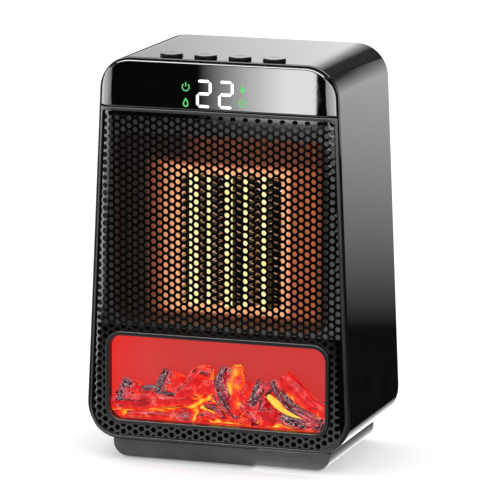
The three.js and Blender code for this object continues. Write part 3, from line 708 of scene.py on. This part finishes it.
def log_piece(name, path, radii, material, heat, soot_and_shade, seed=0, rough=0.14, sides=40, rings=44):
    """A split log: a tube whose section is angular and uneven along the grain. Char is deepened on its lower left as
    painted shade, its underside is painted brighter and its right side dimmer.
    """
    random.seed(seed)
    path = [Vector(p) for p in path]
    phases = [random.uniform(0, 2 * math.pi) for _ in range(4)]
    facet = 2 * math.pi / random.choice((5, 6))
    points, faces, uvs, heats, soot_and_shade_values = [], [], [], [], []
    for ring in range(rings + 1):
        t = ring / rings
        spot = follow(path, t)
        ahead = (follow(path, min(t + 0.02, 1)) - follow(path, max(t - 0.02, 0))).normalized()
        side = ahead.cross(Vector((0, 1, 0))).normalized()
        up = side.cross(ahead).normalized()
        radius = follow(radii, t)
        for k in range(sides):
            angle = 2 * math.pi * k / sides
            turn = (angle + phases[0] + 0.5 * t) % facet - facet / 2
            split = 0.75 * (math.cos(facet / 2) / math.cos(turn)) + 0.30
            bark = sum(math.sin((n + 5) * angle + phases[n]) / (n + 4) for n in range(4))
            knots = noise.noise(Vector((math.cos(angle) * 1.3 + seed, math.sin(angle) * 1.3, t * 5)))
            lumps = noise.noise(Vector((math.cos(angle) * 4, math.sin(angle) * 4 + seed, t * 14)))
            r = radius * split * (1 + rough * (bark + 1.4 * knots + 0.6 * lumps))
            ragged = 1.1 * noise.noise(Vector((math.cos(angle) * 2.2, math.sin(angle) * 2.2 + seed, 7.0)))
            out = side * math.cos(angle) + up * math.sin(angle)
            p = spot + out * r + ahead * (ragged * (1 if ring == rings else 0))
            p.y = max(min(p.y, CHAMBER_BACK - 0.4), -1.2)
            p.z = max(min(p.z, WINDOW_TOP - 0.5), WINDOW_BOTTOM + 0.5)
            p.x = max(min(p.x, WINDOW_HALF - 0.3), 0.3 - WINDOW_HALF)
            points.append(at(*p))
            uvs.append((k / sides + seed * 0.37, t + seed * 0.61))
            # Painted light: the underside is made hotter as painted glow and the right side cooler as painted shade;
            # the lower left is given more char as painted shade.
            heats.append(heat + 0.22 * max(0.0, -out.z) - 0.06 * max(0.0, out.x))
            soot_and_shade_values.append(soot_and_shade * (0.55 + 0.6 * max(0.0, out.dot(Vector((-0.75, -0.35, 0.25))))))
    for ring in range(rings):
        for k in range(sides):
            a, b = ring * sides + k, ring * sides + (k + 1) % sides
            faces.append((a, b, b + sides, a + sides))
    faces.append(tuple(reversed(range(sides))))
    faces.append(tuple(rings * sides + k for k in range(sides)))
    return marked(mesh_object(name, points, faces, material, sharp=40, tidy=False), uvs, heats, soot_and_shade_values)


LAVA = [[(-60, 15.3), (-52, 18.8), (-34, 20.4), (-16, 22.2), (-8.6, 27)],
        [(-3.8, 26), (1, 23.4), (8.2, 22.4)],
        [(-14.7, 22), (-15.6, 13)], [(-41, 19.6), (-36, 17), (-31, 15)], [(-5, 14.6), (3, 12.8), (11, 14)],
        [(-10, 21), (-3, 16.5)], [(20, 24), (25, 15.5)], [(32, 13.6), (40, 14.4), (48, 13.2)],
        [(30, 31), (40, 25), (51, 19)]]


def distance_to_piece(spot, first, last):
    """The distance from a spot to the straight piece between two points."""
    start, along = Vector(first), Vector(last) - Vector(first)
    share = max(0, min(1, (spot - start).dot(along) / along.length_squared))
    return (spot - (start + along * share)).length


def lava_heat(x, z):
    """How near a point of the bed is to a lava stream, from 0 to 1."""
    spot = Vector((x + 1.6 * noise.noise(Vector((x / 5, z / 5, 4))),
                   z + 1.2 * noise.noise(Vector((x / 4, z / 4, 9)))))
    gap = min(distance_to_piece(spot, a, b) for way in LAVA for a, b in zip(way, way[1:]))
    wide = 1.9 + 1.3 * noise.noise(Vector((x / 6, z / 6, 20)))
    return math.exp(-(gap / max(wide, 0.7)) ** 2)


def make_bed(material):
    """The relief under the logs, a solid block whose front is uneven and whose top rises in the middle."""
    across, up = 260, 72
    points, faces, uvs, heats, soot_and_shade_values = [], [], [], [], []
    for j in range(up + 1):
        for i in range(across + 1):
            x = -WINDOW_HALF + 0.3 + (2 * WINDOW_HALF - 0.6) * i / across
            crest = 25 + 11 * math.exp(-((x - 4) / 26) ** 2) + 3 * math.sin(x / 9 + 1) + 3 * noise.noise(Vector((x / 5, 3.1, 0)))
            z = WINDOW_BOTTOM + 0.7 + (crest - WINDOW_BOTTOM) * j / up
            glow_here = lava_heat(x, z)
            lump = noise.fractal(Vector((x / 8, z / 3.6, 1.7)), 0.7, 2.1, 4)
            fold = abs(noise.noise(Vector((x / 6 + z / 9, z / 3.4, 5.0))))
            y = 2.0 + 4.6 * (j / up) ** 1.2 - 1.5 * lump + 2.2 * fold + 1.3 * glow_here
            points.append(at(x, max(min(y, CHAMBER_BACK - 1.5), -0.8), z))
            uvs.append((z / 9, x / 22))
            heats.append(0.34 + 0.62 * glow_here)
            soot_and_shade_values.append(0.42 * (1 - glow_here) + 0.3 * noise.noise(Vector((x / 9, z / 6, 2))))
    back = len(points)
    for j in (0, up):
        for i in range(across + 1):
            p = points[j * (across + 1) + i].copy()
            p.y = at(0, CHAMBER_BACK - 0.3, 0).y
            points.append(p)
            uvs.append((0, i / across))
            heats.append(0.4)
            soot_and_shade_values.append(0.2)
    row = across + 1
    for j in range(up):
        for i in range(across):
            a = j * row + i
            faces.append((a, a + 1, a + 1 + row, a + row))
    for i in range(across):
        faces.append((i + 1, i, back + i, back + i + 1))
        faces.append((up * row + i, up * row + i + 1, back + row + i + 1, back + row + i))
        faces.append((back + i + 1, back + i, back + row + i, back + row + i + 1))
    faces.append(tuple([j * row for j in range(up + 1)] + [back + row, back]))
    faces.append(tuple([j * row + across for j in reversed(range(up + 1))] + [back + across,
                                                                              back + row + across]))
    return marked(mesh_object("ember_bed_relief", points, faces, material, sharp=60, tidy=False), uvs, heats,
                  soot_and_shade_values)


def make_embers():
    look = ember_finish()
    pieces = [
        ("stub_left", [(-61.5, 3.4, 20), (-55, 4.8, 34)], [5.0, 4.6], 0.30, 0.95),
        ("stub_left_red", [(-54, 5.6, 23), (-51, 6.4, 33)], [4.6, 3.6], 0.46, 0.35),
        ("long_log", [(-67, 3.0, 21.5), (-50, 2.6, 22.5), (-33, 2.8, 25), (-17, 3.4, 27.5)],
         [4.4, 4.8, 4.8, 4.4], 0.40, 0.45),
        ("dark_ridge", [(-52, 5.6, 29), (-44, 5.6, 30.5), (-38, 5.6, 31)], [1.6, 1.8, 1.4], 0.12, 1.1),
        ("stub_middle", [(-36.5, 3.8, 27), (-31.5, 4.8, 41)], [4.0, 4.0], 0.32, 0.95),
        ("stub_middle_red", [(-30, 5.4, 27), (-26, 6.0, 39.5)], [4.8, 4.4], 0.52, 0.15),
        ("mass_left", [(-25, 4.2, 28), (-13, 4.4, 34)], [6.0, 6.4], 0.48, 0.30),
        ("round_end", [(-20.5, 6.4, 27), (-20, 0.9, 26)], [4.6, 4.2], 0.42, 0.45),
        ("twisted", [(-19, 3.2, 30), (-16.5, 3.8, 37), (-11.5, 4.6, 42), (-5, 5.2, 41.5)],
         [3.0, 3.8, 4.4, 4.2], 0.50, 0.35),
        ("twisted_low", [(-15, 2.6, 29), (-8.5, 2.8, 35), (-4, 3.4, 31)], [3.2, 3.6, 3.4], 0.52, 0.35),
        ("split_left", [(6.5, 3.4, 21), (-1, 3.6, 29), (-4, 4.4, 39)], [2.6, 3.4, 3.0], 0.50, 0.60),
        ("split_log", [(11.5, 1.4, 17.5), (5, 2.0, 26), (1.2, 3.0, 36), (4.0, 4.6, 46)], [2.2, 3.8, 4.2, 2.8],
         0.28, 1.05),
        ("flame_tip", [(14.5, 3.8, 26), (9.6, 4.6, 38), (10.6, 5.4, 47.5)], [5.0, 4.8, 2.6], 0.74, 0.05),
        ("mass_right", [(8, 4.4, 21), (16, 4.6, 33)], [7.0, 6.0], 0.56, 0.25),
        ("chunk", [(13, 2.4, 29), (19, 3.0, 37)], [3.8, 3.4], 0.52, 0.25),
        ("dark_top", [(20, 3.4, 25), (27, 4.8, 38)], [5.6, 5.2], 0.36, 0.85),
        ("low_right", [(13, 1.8, 31), (18, 1.4, 23), (25, 1.6, 17.5)], [3.0, 3.4, 3.0], 0.44, 0.60),
        ("slab_edge", [(32.5, 3.2, 41), (38, 3.0, 31.5), (48, 2.8, 24.5), (61, 2.6, 19)],
         [3.0, 3.4, 3.6, 3.2], 0.26, 0.95),
        ("slab_face", [(38, 4.6, 43.5), (46, 4.4, 35.5), (54, 4.2, 28.5), (65, 4.0, 23)],
         [4.8, 5.4, 4.8, 4.0], 0.48, 0.22),
        ("slab_top", [(52, 6.2, 31.5), (58, 6.2, 28.5), (66, 6.2, 27.5)], [1.7, 1.7, 1.4], 0.14, 1.1),
        ("lava_right", [(29.5, 2.2, 32), (35, 1.8, 27.5), (43, 1.6, 23), (51, 1.4, 19.5)],
         [1.2, 2.2, 1.8, 1.0], 1.0, 0.0),
        ("end_right", [(30, 6, 19), (29.7, 0.6, 18)], [4.9, 4.6], 0.40, 0.40),
        ("low_far", [(38, 2.6, 19), (50, 2.0, 17), (65, 1.8, 16.5)], [3.4, 4.0, 4.2], 0.36, 0.85),
        ("floor_left", [(-56, 2.0, 15.5), (-40, 1.6, 16.2), (-26, 1.9, 15.4)], [1.8, 2.2, 1.6], 0.46, 0.45),
        ("floor_middle", [(-13, 1.9, 15), (-8, 1.7, 18), (-2, 1.9, 16.2)], [2.0, 2.4, 2.0], 0.48, 0.40),
        ("floor_right", [(4, 1.9, 17.5), (11, 1.7, 16.6), (19, 1.9, 15)], [2.0, 2.4, 1.8], 0.50, 0.35),
    ]
    return [make_bed(look)] + [log_piece(f"ember_{name}", path, radii, look, heat, soot_and_shade, 3 + 4 * i)
                               for i, (name, path, radii, heat, soot_and_shade) in enumerate(pieces)]


# ---------------------------------------------------------------- display
def segment(x, z, length, width, upright):
    """One bar of a figure, with pointed ends."""
    h, w = length / 2, width / 2
    shape = [(-h, 0), (-h + w, -w), (h - w, -w), (h, 0), (h - w, w), (-h + w, w)]
    turned = [(-b, a) if upright else (a, b) for a, b in shape]
    return [Vector((x + a, z + b)) for a, b in turned]


def figure(name, x, middle, bars):
    """A seven-bar figure. Bars are top, upper left, upper right, middle, lower left, lower right, bottom."""
    wide, tall, stroke = 7.6, 7.25, 1.6
    places = [(0, tall, False), (-wide / 2, tall / 2, True), (wide / 2, tall / 2, True), (0, 0, False),
              (-wide / 2, -tall / 2, True), (wide / 2, -tall / 2, True), (0, -tall, False)]
    front = -CROWN - 0.06
    made = []
    for on, (dx, dz, upright) in zip(bars, places):
        if on:
            shape = segment(x + dx, middle + dz, (tall if upright else wide) - 0.7, stroke, upright)
            made.append(flat_plate("bar", shape, front, front + 0.12, DIGIT_LIGHT, 0.03))
    return join(name, *made)


def ribbon(name, path, width, material, closed=False):
    """A flat line of light of the given width along (x, z) points."""
    front = -CROWN - 0.06
    left, right = [], []
    count = len(path)
    for i, p in enumerate(path):
        before = path[i - 1] if i > 0 or closed else p
        after = path[(i + 1) % count] if i < count - 1 or closed else p
        along = (Vector(after) - Vector(before)).normalized()
        across = Vector((-along.y, along.x)) * width / 2
        left.append(Vector(p) + across)
        right.append(Vector(p) - across)
    points, faces = [], []
    for y in (front, front + 0.12):
        points += level(left, y) + level(right, y)
    steps = count if closed else count - 1
    for i in range(steps):
        j = (i + 1) % count
        faces.append((i, j, count + j, count + i))
        faces.append((2 * count + j, 2 * count + i, 3 * count + i, 3 * count + j))
        faces.append((j, i, 2 * count + i, 2 * count + j))
        faces.append((count + i, count + j, 3 * count + j, 3 * count + i))
    if not closed:
        faces.append((0, count, 3 * count, 2 * count))
        faces.append((count - 1, 3 * count - 1, 4 * count - 1, 2 * count - 1))
    return mesh_object(name, points, faces, material)


def arc_path(x, z, radius, first, last, steps=24):
    return [(x + radius * math.cos(math.radians(first + (last - first) * k / steps)),
             z + radius * math.sin(math.radians(first + (last - first) * k / steps)))
             for k in range(steps + 1)]


def drop_shape(x, z, wide, tall):
    """A flame or drop: round below, drawn to a point above."""
    shape = []
    for k in range(36):
        t = 2 * math.pi * k / 36
        shape.append(Vector((x + wide / 2 * math.sin(t) * math.sin(t / 2) ** 1.3,
                             z + tall / 2 * math.cos(t))))
    return shape


def make_display():
    left = figure("digit_left", -7.6, 206.2, (1, 0, 1, 1, 1, 0, 1))
    right = figure("digit_right", 5.6, 206.2, (1, 0, 1, 1, 1, 0, 1))
    power = join("icon_power", ribbon("icon_a", arc_path(-18.5, 209.6, 2.1, 130, 410), 0.6, ICON_LIGHT),
                 ribbon("icon_b", [(-18.5, 209.9), (-18.5, 212.5)], 0.6, ICON_LIGHT))
    flame = ribbon("icon_flame", [tuple(p) for p in drop_shape(-18.5, 200.8, 3.6, 4.6)], 0.75, ICON_LIGHT,
                   True)
    front = -CROWN - 0.06
    heat = flat_plate("icon_heat", drop_shape(15.6, 210.0, 3.4, 4.4), front, front + 0.12, ICON_LIGHT, 0.04)
    dial = join("icon_timer", ribbon("icon_c", arc_path(15.6, 201.7, 1.9, 0, 345), 0.6, ICON_LIGHT),
                ribbon("icon_d", [(14.6, 202.5), (15.5, 201.4), (16.7, 202.2)], 0.5, ICON_LIGHT))
    return left, right, power, flame, heat, dial


# ---------------------------------------------------------------- buttons
def make_button(index, x):
    top = BODY_HEIGHT + BUTTON_PROUD
    foot = BODY_HEIGHT - WALL - GAP - 1.7
    profile = [(0.001, foot), (BUTTON_RADIUS + 0.8, foot), (BUTTON_RADIUS + 0.8, foot + 1.6),
               (BUTTON_RADIUS, foot + 1.6),
               (BUTTON_RADIUS, top - 0.75)]
    profile += [(BUTTON_RADIUS - i, top - 0.15 - y) for i, y in quarter(0.6)]
    profile += [(BUTTON_RADIUS - 1.6, top - 0.15), (3.4, top - 0.3), (0.001, top - 0.38)]
    cap = lathe(f"button_cap_{index + 1}", (x, BUTTON_DEPTH, 0), profile, BUTTON, sides=72)
    # The sides take the painted-shade copy of the button plastic.
    cap.data.materials.append(BUTTON_SIDE_SHADED)
    for polygon in cap.data.polygons:
        polygon.material_index = int(abs(polygon.normal.z) < 0.6)
    return cap


# ---------------------------------------------------------------- heater and duct
def duct_finish():
    """Heat-proof plastic lit peach beside the heater, orange to left and right, and dim above and below."""
    g = Graph("duct heat-proof")
    x, z = g.part(0), g.part(2)
    height = g.calc("SUBTRACT", z, BODY_Z / 1000)
    side = g.calc("MAXIMUM", g.calc("SUBTRACT", -0.041, x), g.calc("SUBTRACT", x, 0.0355))
    rise = g.calc("MAXIMUM", g.calc("SUBTRACT", 0.0750, height), g.calc("SUBTRACT", height, 0.160))
    near = g.between(g.calc("MAXIMUM", side, rise), 0.0018, 0.0)
    # Painted shade: across fades the orange towards the far left and right, upright dims it above and below, and
    # corner paints a shadow into the top-left corner.
    across = g.calc("MINIMUM", g.between(x, -0.052, -0.0415), g.between(x, 0.0570, 0.0500))
    upright = g.calc("MULTIPLY", g.between(height, 0.160, 0.1635, 1.0, 0.34),
                     g.between(height, 0.0705, 0.0760, 0.1, 1.0))
    corner = g.calc("MAXIMUM", g.between(x, -0.031, -0.019), g.between(height, 0.166, 0.161))
    amount = g.calc("MULTIPLY", g.calc("MULTIPLY", across, upright), corner)
    orange = g.mix(amount, (0.016, 0.011, 0.010), (0.42, 0.105, 0.040))
    tint = g.mix(near, orange, (0.78, 0.29, 0.145))
    patch = g.between(g.noise(70.0, 3.0), 0.3, 0.7, 0.85, 1.12)
    return g.surface(base_color=(0.02, 0.012, 0.01), emission_color=tint, emission_strength=patch,
                     roughness=0.5)


def baffle_finish():
    """Grey plastic behind the grille, where light from the right side just reaches it."""
    g = Graph("baffle lit")
    reach = g.between(g.part(0), -0.045, 0.045, 0.006, 0.055)
    patch = g.between(g.noise(90.0, 3.0), 0.3, 0.7, 0.8, 1.1)
    return g.surface(base_color=(0.08, 0.076, 0.074), emission_color=(1.0, 0.97, 0.95),
                     emission_strength=g.calc("MULTIPLY", reach, patch), roughness=0.6)


def bar_finish():
    """Pale ceramic that glows yellow at its front and is dull down its sides."""
    g = Graph("ceramic lit")
    edge_y = 0.001 * (HEATER_FRONT + 1 + LIP_Y)
    front = g.between(g.part(1), edge_y + 0.0009, edge_y + 0.0002, 0.03, 1.0)
    tint = g.mix(g.between(g.noise(240.0, 3.0), 0.35, 0.65), (1.0, 0.88, 0.32), (1.0, 0.95, 0.50))
    return g.surface(base_color=(0.10, 0.07, 0.03), emission_color=tint, emission_strength=front,
                     roughness=0.7)


def fin_finish():
    """Aluminium folds, dark behind as painted shade, with patches of painted peach glow along their front edges."""
    g = Graph("fin aluminium")
    edge_y = 0.001 * (HEATER_FRONT + 1.5 + LIP_Y)
    front = g.between(g.part(1), edge_y + 0.0010, edge_y + 0.0003)
    patch = g.between(g.noise(420.0, 2.0), 0.42, 0.58, 0.35, 1.0)
    tint = g.mix(g.between(g.noise(150.0), 0.4, 0.6), (0.72, 0.28, 0.14), (0.95, 0.55, 0.30))
    return g.surface(base_color=(0.012, 0.010, 0.009), metallic=0.3, roughness=0.5, emission_color=tint,
                     emission_strength=g.calc("MULTIPLY", g.calc("MULTIPLY", front, patch), 0.95))


def frame_finish():
    g = Graph("heater frame lit")
    patch = g.between(g.noise(180.0, 3.0), 0.35, 0.65, 0.7, 1.1)
    return g.surface(base_color=(0.30, 0.2, 0.15), metallic=0.5, roughness=0.4,
                     emission_color=(0.98, 0.44, 0.20, 1),
                     emission_strength=patch)


def make_fins(material):
    """Folded strips that fill the columns beside the bars, replacing the plain folds."""
    bottom, top = HEATER_BOTTOM + 3.3, HEATER_TOP - 3.3
    side, folds = HEATER_HALF - 3 - GAP, 34
    lows = [-side] + [x + width / 2 + GAP for x, width in BARS]
    highs = [x - width / 2 - GAP for x, width in BARS] + [side]
    made = []
    for index, (low, high) in enumerate(zip(lows, highs)):
        rise = (top - bottom) / folds
        points, faces = [], []
        thick = 0.34
        for k in range(folds + 1):
            x = low + 0.3 if k % 2 == 0 else high - 0.3
            z = min(max(bottom + k * rise, bottom + thick), top - thick)
            for y in (HEATER_FRONT + 1.5, HEATER_BACK - 1.5):
                points += [at(x, y, z - thick / 2), at(x, y, z + thick / 2)]
        for k in range(folds):
            a, b = 4 * k, 4 * k + 4
            faces += [(a, a + 1, b + 1, b), (a + 2, b + 2, b + 3, a + 3), (a + 1, a + 3, b + 3, b + 1),
                      (a, b, b + 2, a + 2)]
        faces += [(0, 2, 3, 1), (4 * folds, 4 * folds + 1, 4 * folds + 3, 4 * folds + 2)]
        made.append(mesh_object(f"fin_strip_{index + 1}", points, faces, material, tidy=False))
    return made


# ---------------------------------------------------------------- rear and base
def slot_shape(x0, x1, z, half=1.5, steps=8):
    shape = [Vector((x1 - half + half * math.sin(math.pi * k / steps),
                     z - half * math.cos(math.pi * k / steps)))
             for k in range(steps + 1)]
    return shape + [Vector((x0 + half - half * math.sin(math.pi * k / steps),
                            z + half * math.cos(math.pi * k / steps)))
                    for k in range(steps + 1)]


def make_rear_cover():
    holes = []
    for row in range(13):
        z = FAN_MIDDLE + (row - 6) * 6.5
        holes += [slot_shape(-44, -2, z), slot_shape(2, 44, z)]
    for x, z in ((-61, 203), (61, 203), (-68, 22), (68, 22)):
        holes.append(circle(x, z, 3.4, 40))
    holes.append(circle(38, 24, 6.5, 48))
    cover = perforated("rear_cover_panel", divided(body_outline(WALL + GAP), 4), None, holes,
                       lambda p: COVER_BACK,
                       lambda p: COVER_FRONT, COVER, -0.25)
    for polygon in cover.data.polygons:
        polygon.use_smooth = abs(polygon.normal.y) < 0.9
    return cover


def make_base():
    def shape(inset):
        half, bottom = BASE_HALF - inset, inset - BASE_HEIGHT
        radius = max(BASE_RADIUS - inset, 0.5)
        return outline([(-half, bottom, radius), (half, bottom, radius), (half, -GAP, 0), (-half, -GAP, 0)],
                       12, 24)

    edge = 0.8
    loops = [level(shape(i), BASE_FRONT + y) for i, y in reversed(quarter(edge))]
    loops += [level(shape(0), BASE_FRONT + 1.4), level(shape(0), BASE_BACK - 1.4)]
    loops += [level(shape(i), BASE_BACK - y) for i, y in quarter(edge)]
    plinth = skin("base_plinth", loops, BASE, start=True, end=True)
    # The sides and back take the painted-shade gloss.
    plinth.data.materials.append(PLINTH_SHADED)
    for face in plinth.data.polygons:
        face.material_index = 1 if face.center.y * 1000 - LIP_Y > BASE_FRONT + edge else 0
    return weighted(plinth)


def make_foot(index, x, y):
    bottom, top = -12.0, -BASE_HEIGHT - GAP
    profile = [(0.001, bottom), (4.2, bottom), (4.6, bottom + 0.15), (4.7, bottom + 0.4), (4.7, top - 0.1),
               (4.6, top),
               (0.001, top)]
    return lathe(f"foot_pad_{index + 1}", (x, y, 0), profile, RUBBER, sides=40)


def make_grommet():
    profile = [(3.6, -2.2), (6.2, -2.2), (6.2, 2.9), (8.2, 3.1), (8.2, 3.6), (7.7, 4.15), (4.3, 4.2),
               (3.6, 3.6)]
    return lathe("cord_grommet", (38, COVER_FRONT, 24), profile, RUBBER, axis="y", sides=56)


# ---------------------------------------------------------------- put together
def place(obj, body, slot, *nodes):
    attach(obj, body)
    if nodes:
        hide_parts(*nodes)


place(make_housing(), "casing", "housing_gloss", "housing")
place(make_bezel(), "casing", "bezel_satin", "front_bezel")
place(make_lens(), "casing", "lens_gloss", "display_lens")
place(make_ring(), "casing", "bezel_satin", "window_frame")
place(make_grille(), "casing", "grille_black", "front_grille")
place(make_chamber(), "casing", "chamber_red", "flame_chamber")
for i, ember in enumerate(make_embers()):
    place(ember, "casing", "ember", *(["ember_bed"] if i == 0 else []))
digit_left, digit_right, power_icon, flame_icon, heat_icon, timer_icon = make_display()
place(digit_left, "casing", "lamp_white", "digit_module")
place(digit_right, "casing", "lamp_white")
place(power_icon, "casing", "lamp_green", "icon_lamp_left")
place(flame_icon, "casing", "lamp_green")
place(heat_icon, "casing", "lamp_green", "icon_lamp_right")
place(timer_icon, "casing", "lamp_green")
for i, x in enumerate(button_places()):
    place(make_button(i, x), BUTTON_BODIES[i], "housing_gloss", BUTTON_NODES[i])
for i, strip in enumerate(make_fins(fin_finish())):
    place(strip, "casing", "aluminium", f"fin_pack_{i + 1}")
place(make_rear_cover(), "casing", "inner_black", "rear_cover")
place(make_grommet(), "casing", "rubber", "cord_inlet")
place(make_base(), "casing", "bezel_satin", "base")
for i, (x, y) in enumerate(((-49.5, 15), (49.5, 15), (-49.5, 84), (49.5, 84))):
    place(make_foot(i, x, y), "casing", "rubber", f"foot_{i + 1}")

CARRIED = {
    "front_baffle": baffle_finish(), "air_duct": duct_finish(), "heater_frame": frame_finish(),
    "fan_shroud": INNER,
    "fan_impeller": BAFFLE, "motor_shaft": STEEL, "fan_motor": STEEL, "thermal_cutout": STEEL,
    "main_board": CIRCUIT, "display_board": CIRCUIT, "button_board": CIRCUIT, "flame_led_board": CIRCUIT,
    "relay_left": BLUE, "relay_right": BLUE, "supply_capacitor": BLUE, "terminal_block": IVORY,
    "tilt_switch": IVORY,
    "base_plate": COVER,
}
BAR_GLOW = bar_finish()
CARRIED.update({f"ptc_bar_{i}": BAR_GLOW for i in range(1, 6)})
CARRIED.update({f"{kind}_screw_{i}": STEEL for kind in ("rear", "base") for i in range(1, 5)})
for name, material in CARRIED.items():
    mesh = frame["nodes"][name].data
    mesh.materials.clear()
    mesh.materials.append(material)

# ---------------------------------------------------------------- studio
scene = bpy.context.scene


def panel(name, corners, material):
    mesh = bpy.data.meshes.new(name)
    mesh.from_pydata(corners, [], [(0, 1, 2, 3)])
    obj = bpy.data.objects.new(name, mesh)
    scene.collection.objects.link(obj)
    mesh.materials.append(material)
    return obj


def softbox(name, corners, stops, axis=0):
    """A light panel that only shiny surfaces see.

    Its brightness runs through stops of (metres, radiance) on an axis."""
    g = Graph(name)
    place_on = g.part(axis)
    first, last = stops[0][0], stops[-1][0]
    peak = max(v for _, v in stops)
    scaled = [((p - first) / (last - first), (v / peak,) * 3) for p, v in stops]
    level_of = g.ramp(g.between(place_on, first, last), scaled)
    light = g.add("ShaderNodeEmission", {0: level_of, 1: peak})
    g.add("ShaderNodeOutputMaterial", {0: light.outputs[0]})
    obj = panel(name, corners, g.material)
    obj.visible_camera = obj.visible_diffuse = obj.visible_shadow = obj.visible_transmission = False
    return obj


def upright_y(y, x0, x1, z0, z1):
    return [(x0, y, z0), (x1, y, z0), (x1, y, z1), (x0, y, z1)]


softbox("rear light", upright_y(0.25, -0.30, 0.115, 0.245, 0.42),
        [(-0.30, 0.2), (-0.01, 1.6), (0.06, 0.1), (0.115, 0.1)])
softbox("right light", upright_y(0.25, 0.118, 0.30, -0.10, 0.36),
        [(-0.10, 0.0), (0.03, 0.0), (0.21, 1.8), (0.30, 0.1), (0.36, 0.1)], axis=2)
softbox("lens light", upright_y(-0.40, -0.24, -0.0491, 0.1455, 0.20),
        [(-0.24, 0.0), (-0.13, 0.0), (-0.07, 6.5), (-0.0491, 6.5)])
softbox("lens edge light",
        [(0.105, -0.45, 0.146), (0.55, -0.05, 0.146), (0.55, -0.05, 0.36), (0.105, -0.45, 0.36)],
        [(0.105, 2.0), (0.55, 6.0)])
softbox("left light", [(-0.35, -0.65, -0.05), (-0.35, -0.06, -0.05), (-0.35, -0.06, 0.32),
                       (-0.35, -0.65, 0.32)],
        [(-0.65, 0.5), (-0.06, 4.0)], axis=1)
softbox("high left light",
        [(-0.35, -0.06, 0.145), (-0.35, 0.12, 0.145), (-0.35, 0.12, 0.32), (-0.35, -0.06, 0.32)],
        [(-0.06, 4.0), (0.12, 4.0)], axis=1)
softbox("front floor light",
        [(-0.5, -0.45, 0.0007), (0.10, -0.45, 0.0007), (0.10, -0.06, 0.0007), (-0.5, -0.06, 0.0007)],
        [(-0.45, 0.0), (-0.06, 1.0)], axis=1)
softbox("top light", [(-0.6, -1.0, 0.7), (0.45, -1.0, 0.7), (0.45, -0.10, 0.7), (-0.6, -0.10, 0.7)],
        [(-1.0, 7.0), (-0.10, 10.0)], axis=1)
softbox("floor light", [(0.02, -0.05, 0.0006), (0.088, -0.05, 0.0006), (0.088, 0.20, 0.0006),
                        (0.02, 0.20, 0.0006)],
        [(0.02, 4.0), (0.06, 3.0), (0.088, 0.0)])

floor_look = Graph("floor")
floor_tint = floor_look.mix(floor_look.noise(3.0), (0.93, 0.93, 0.93), (0.95, 0.95, 0.95))
floor = panel("floor", [(-12, -8, 0), (12, -8, 0), (12, 16, 0), (-12, 16, 0)],
              floor_look.surface(base_color=floor_tint, roughness=0.9, emission_color=(1.0, 1.0, 1.0),
                                 emission_strength=0.22))
floor.visible_glossy = False

world = bpy.data.worlds.new("studio")
world.use_nodes = True
world.node_tree.nodes["Background"].inputs[0].default_value = (1, 1, 1, 1)
world.node_tree.nodes["Background"].inputs[1].default_value = 1.1
world.cycles_visibility.glossy = False
scene.world = world
scene.view_settings.view_transform = "Standard"
scene.view_settings.look = "None"

# ---------------------------------------------------------------- camera
YAW, PITCH, ROLL = map(math.radians, (18.23, 10.70, -0.16))
DISTANCE = 2.527
target = Vector((0, 0.0019, 0.1245))
back = Vector((math.sin(YAW) * math.cos(PITCH), -math.cos(YAW) * math.cos(PITCH), math.sin(PITCH)))
camera_data = bpy.data.cameras.new("camera")
camera_data.lens = 311.9
camera_data.sensor_width = 36.0
camera_data.shift_x = 0.0098
camera_data.shift_y = -0.0192
camera = bpy.data.objects.new("camera", camera_data)
scene.collection.objects.link(camera)
camera.rotation_mode = "QUATERNION"
camera.location = target + back * DISTANCE
camera.rotation_quaternion = (-back).to_track_quat("-Z", "Y") @ Matrix.Rotation(-ROLL, 3, "Z").to_quaternion()
camera_data.clip_start, camera_data.clip_end = 0.05, 60
scene.camera = camera

for item in bpy.data.objects:
    if item.type == "MESH":
        for polygon in item.data.polygons:
            if len(polygon.vertices) > 8:
                polygon.use_smooth = False
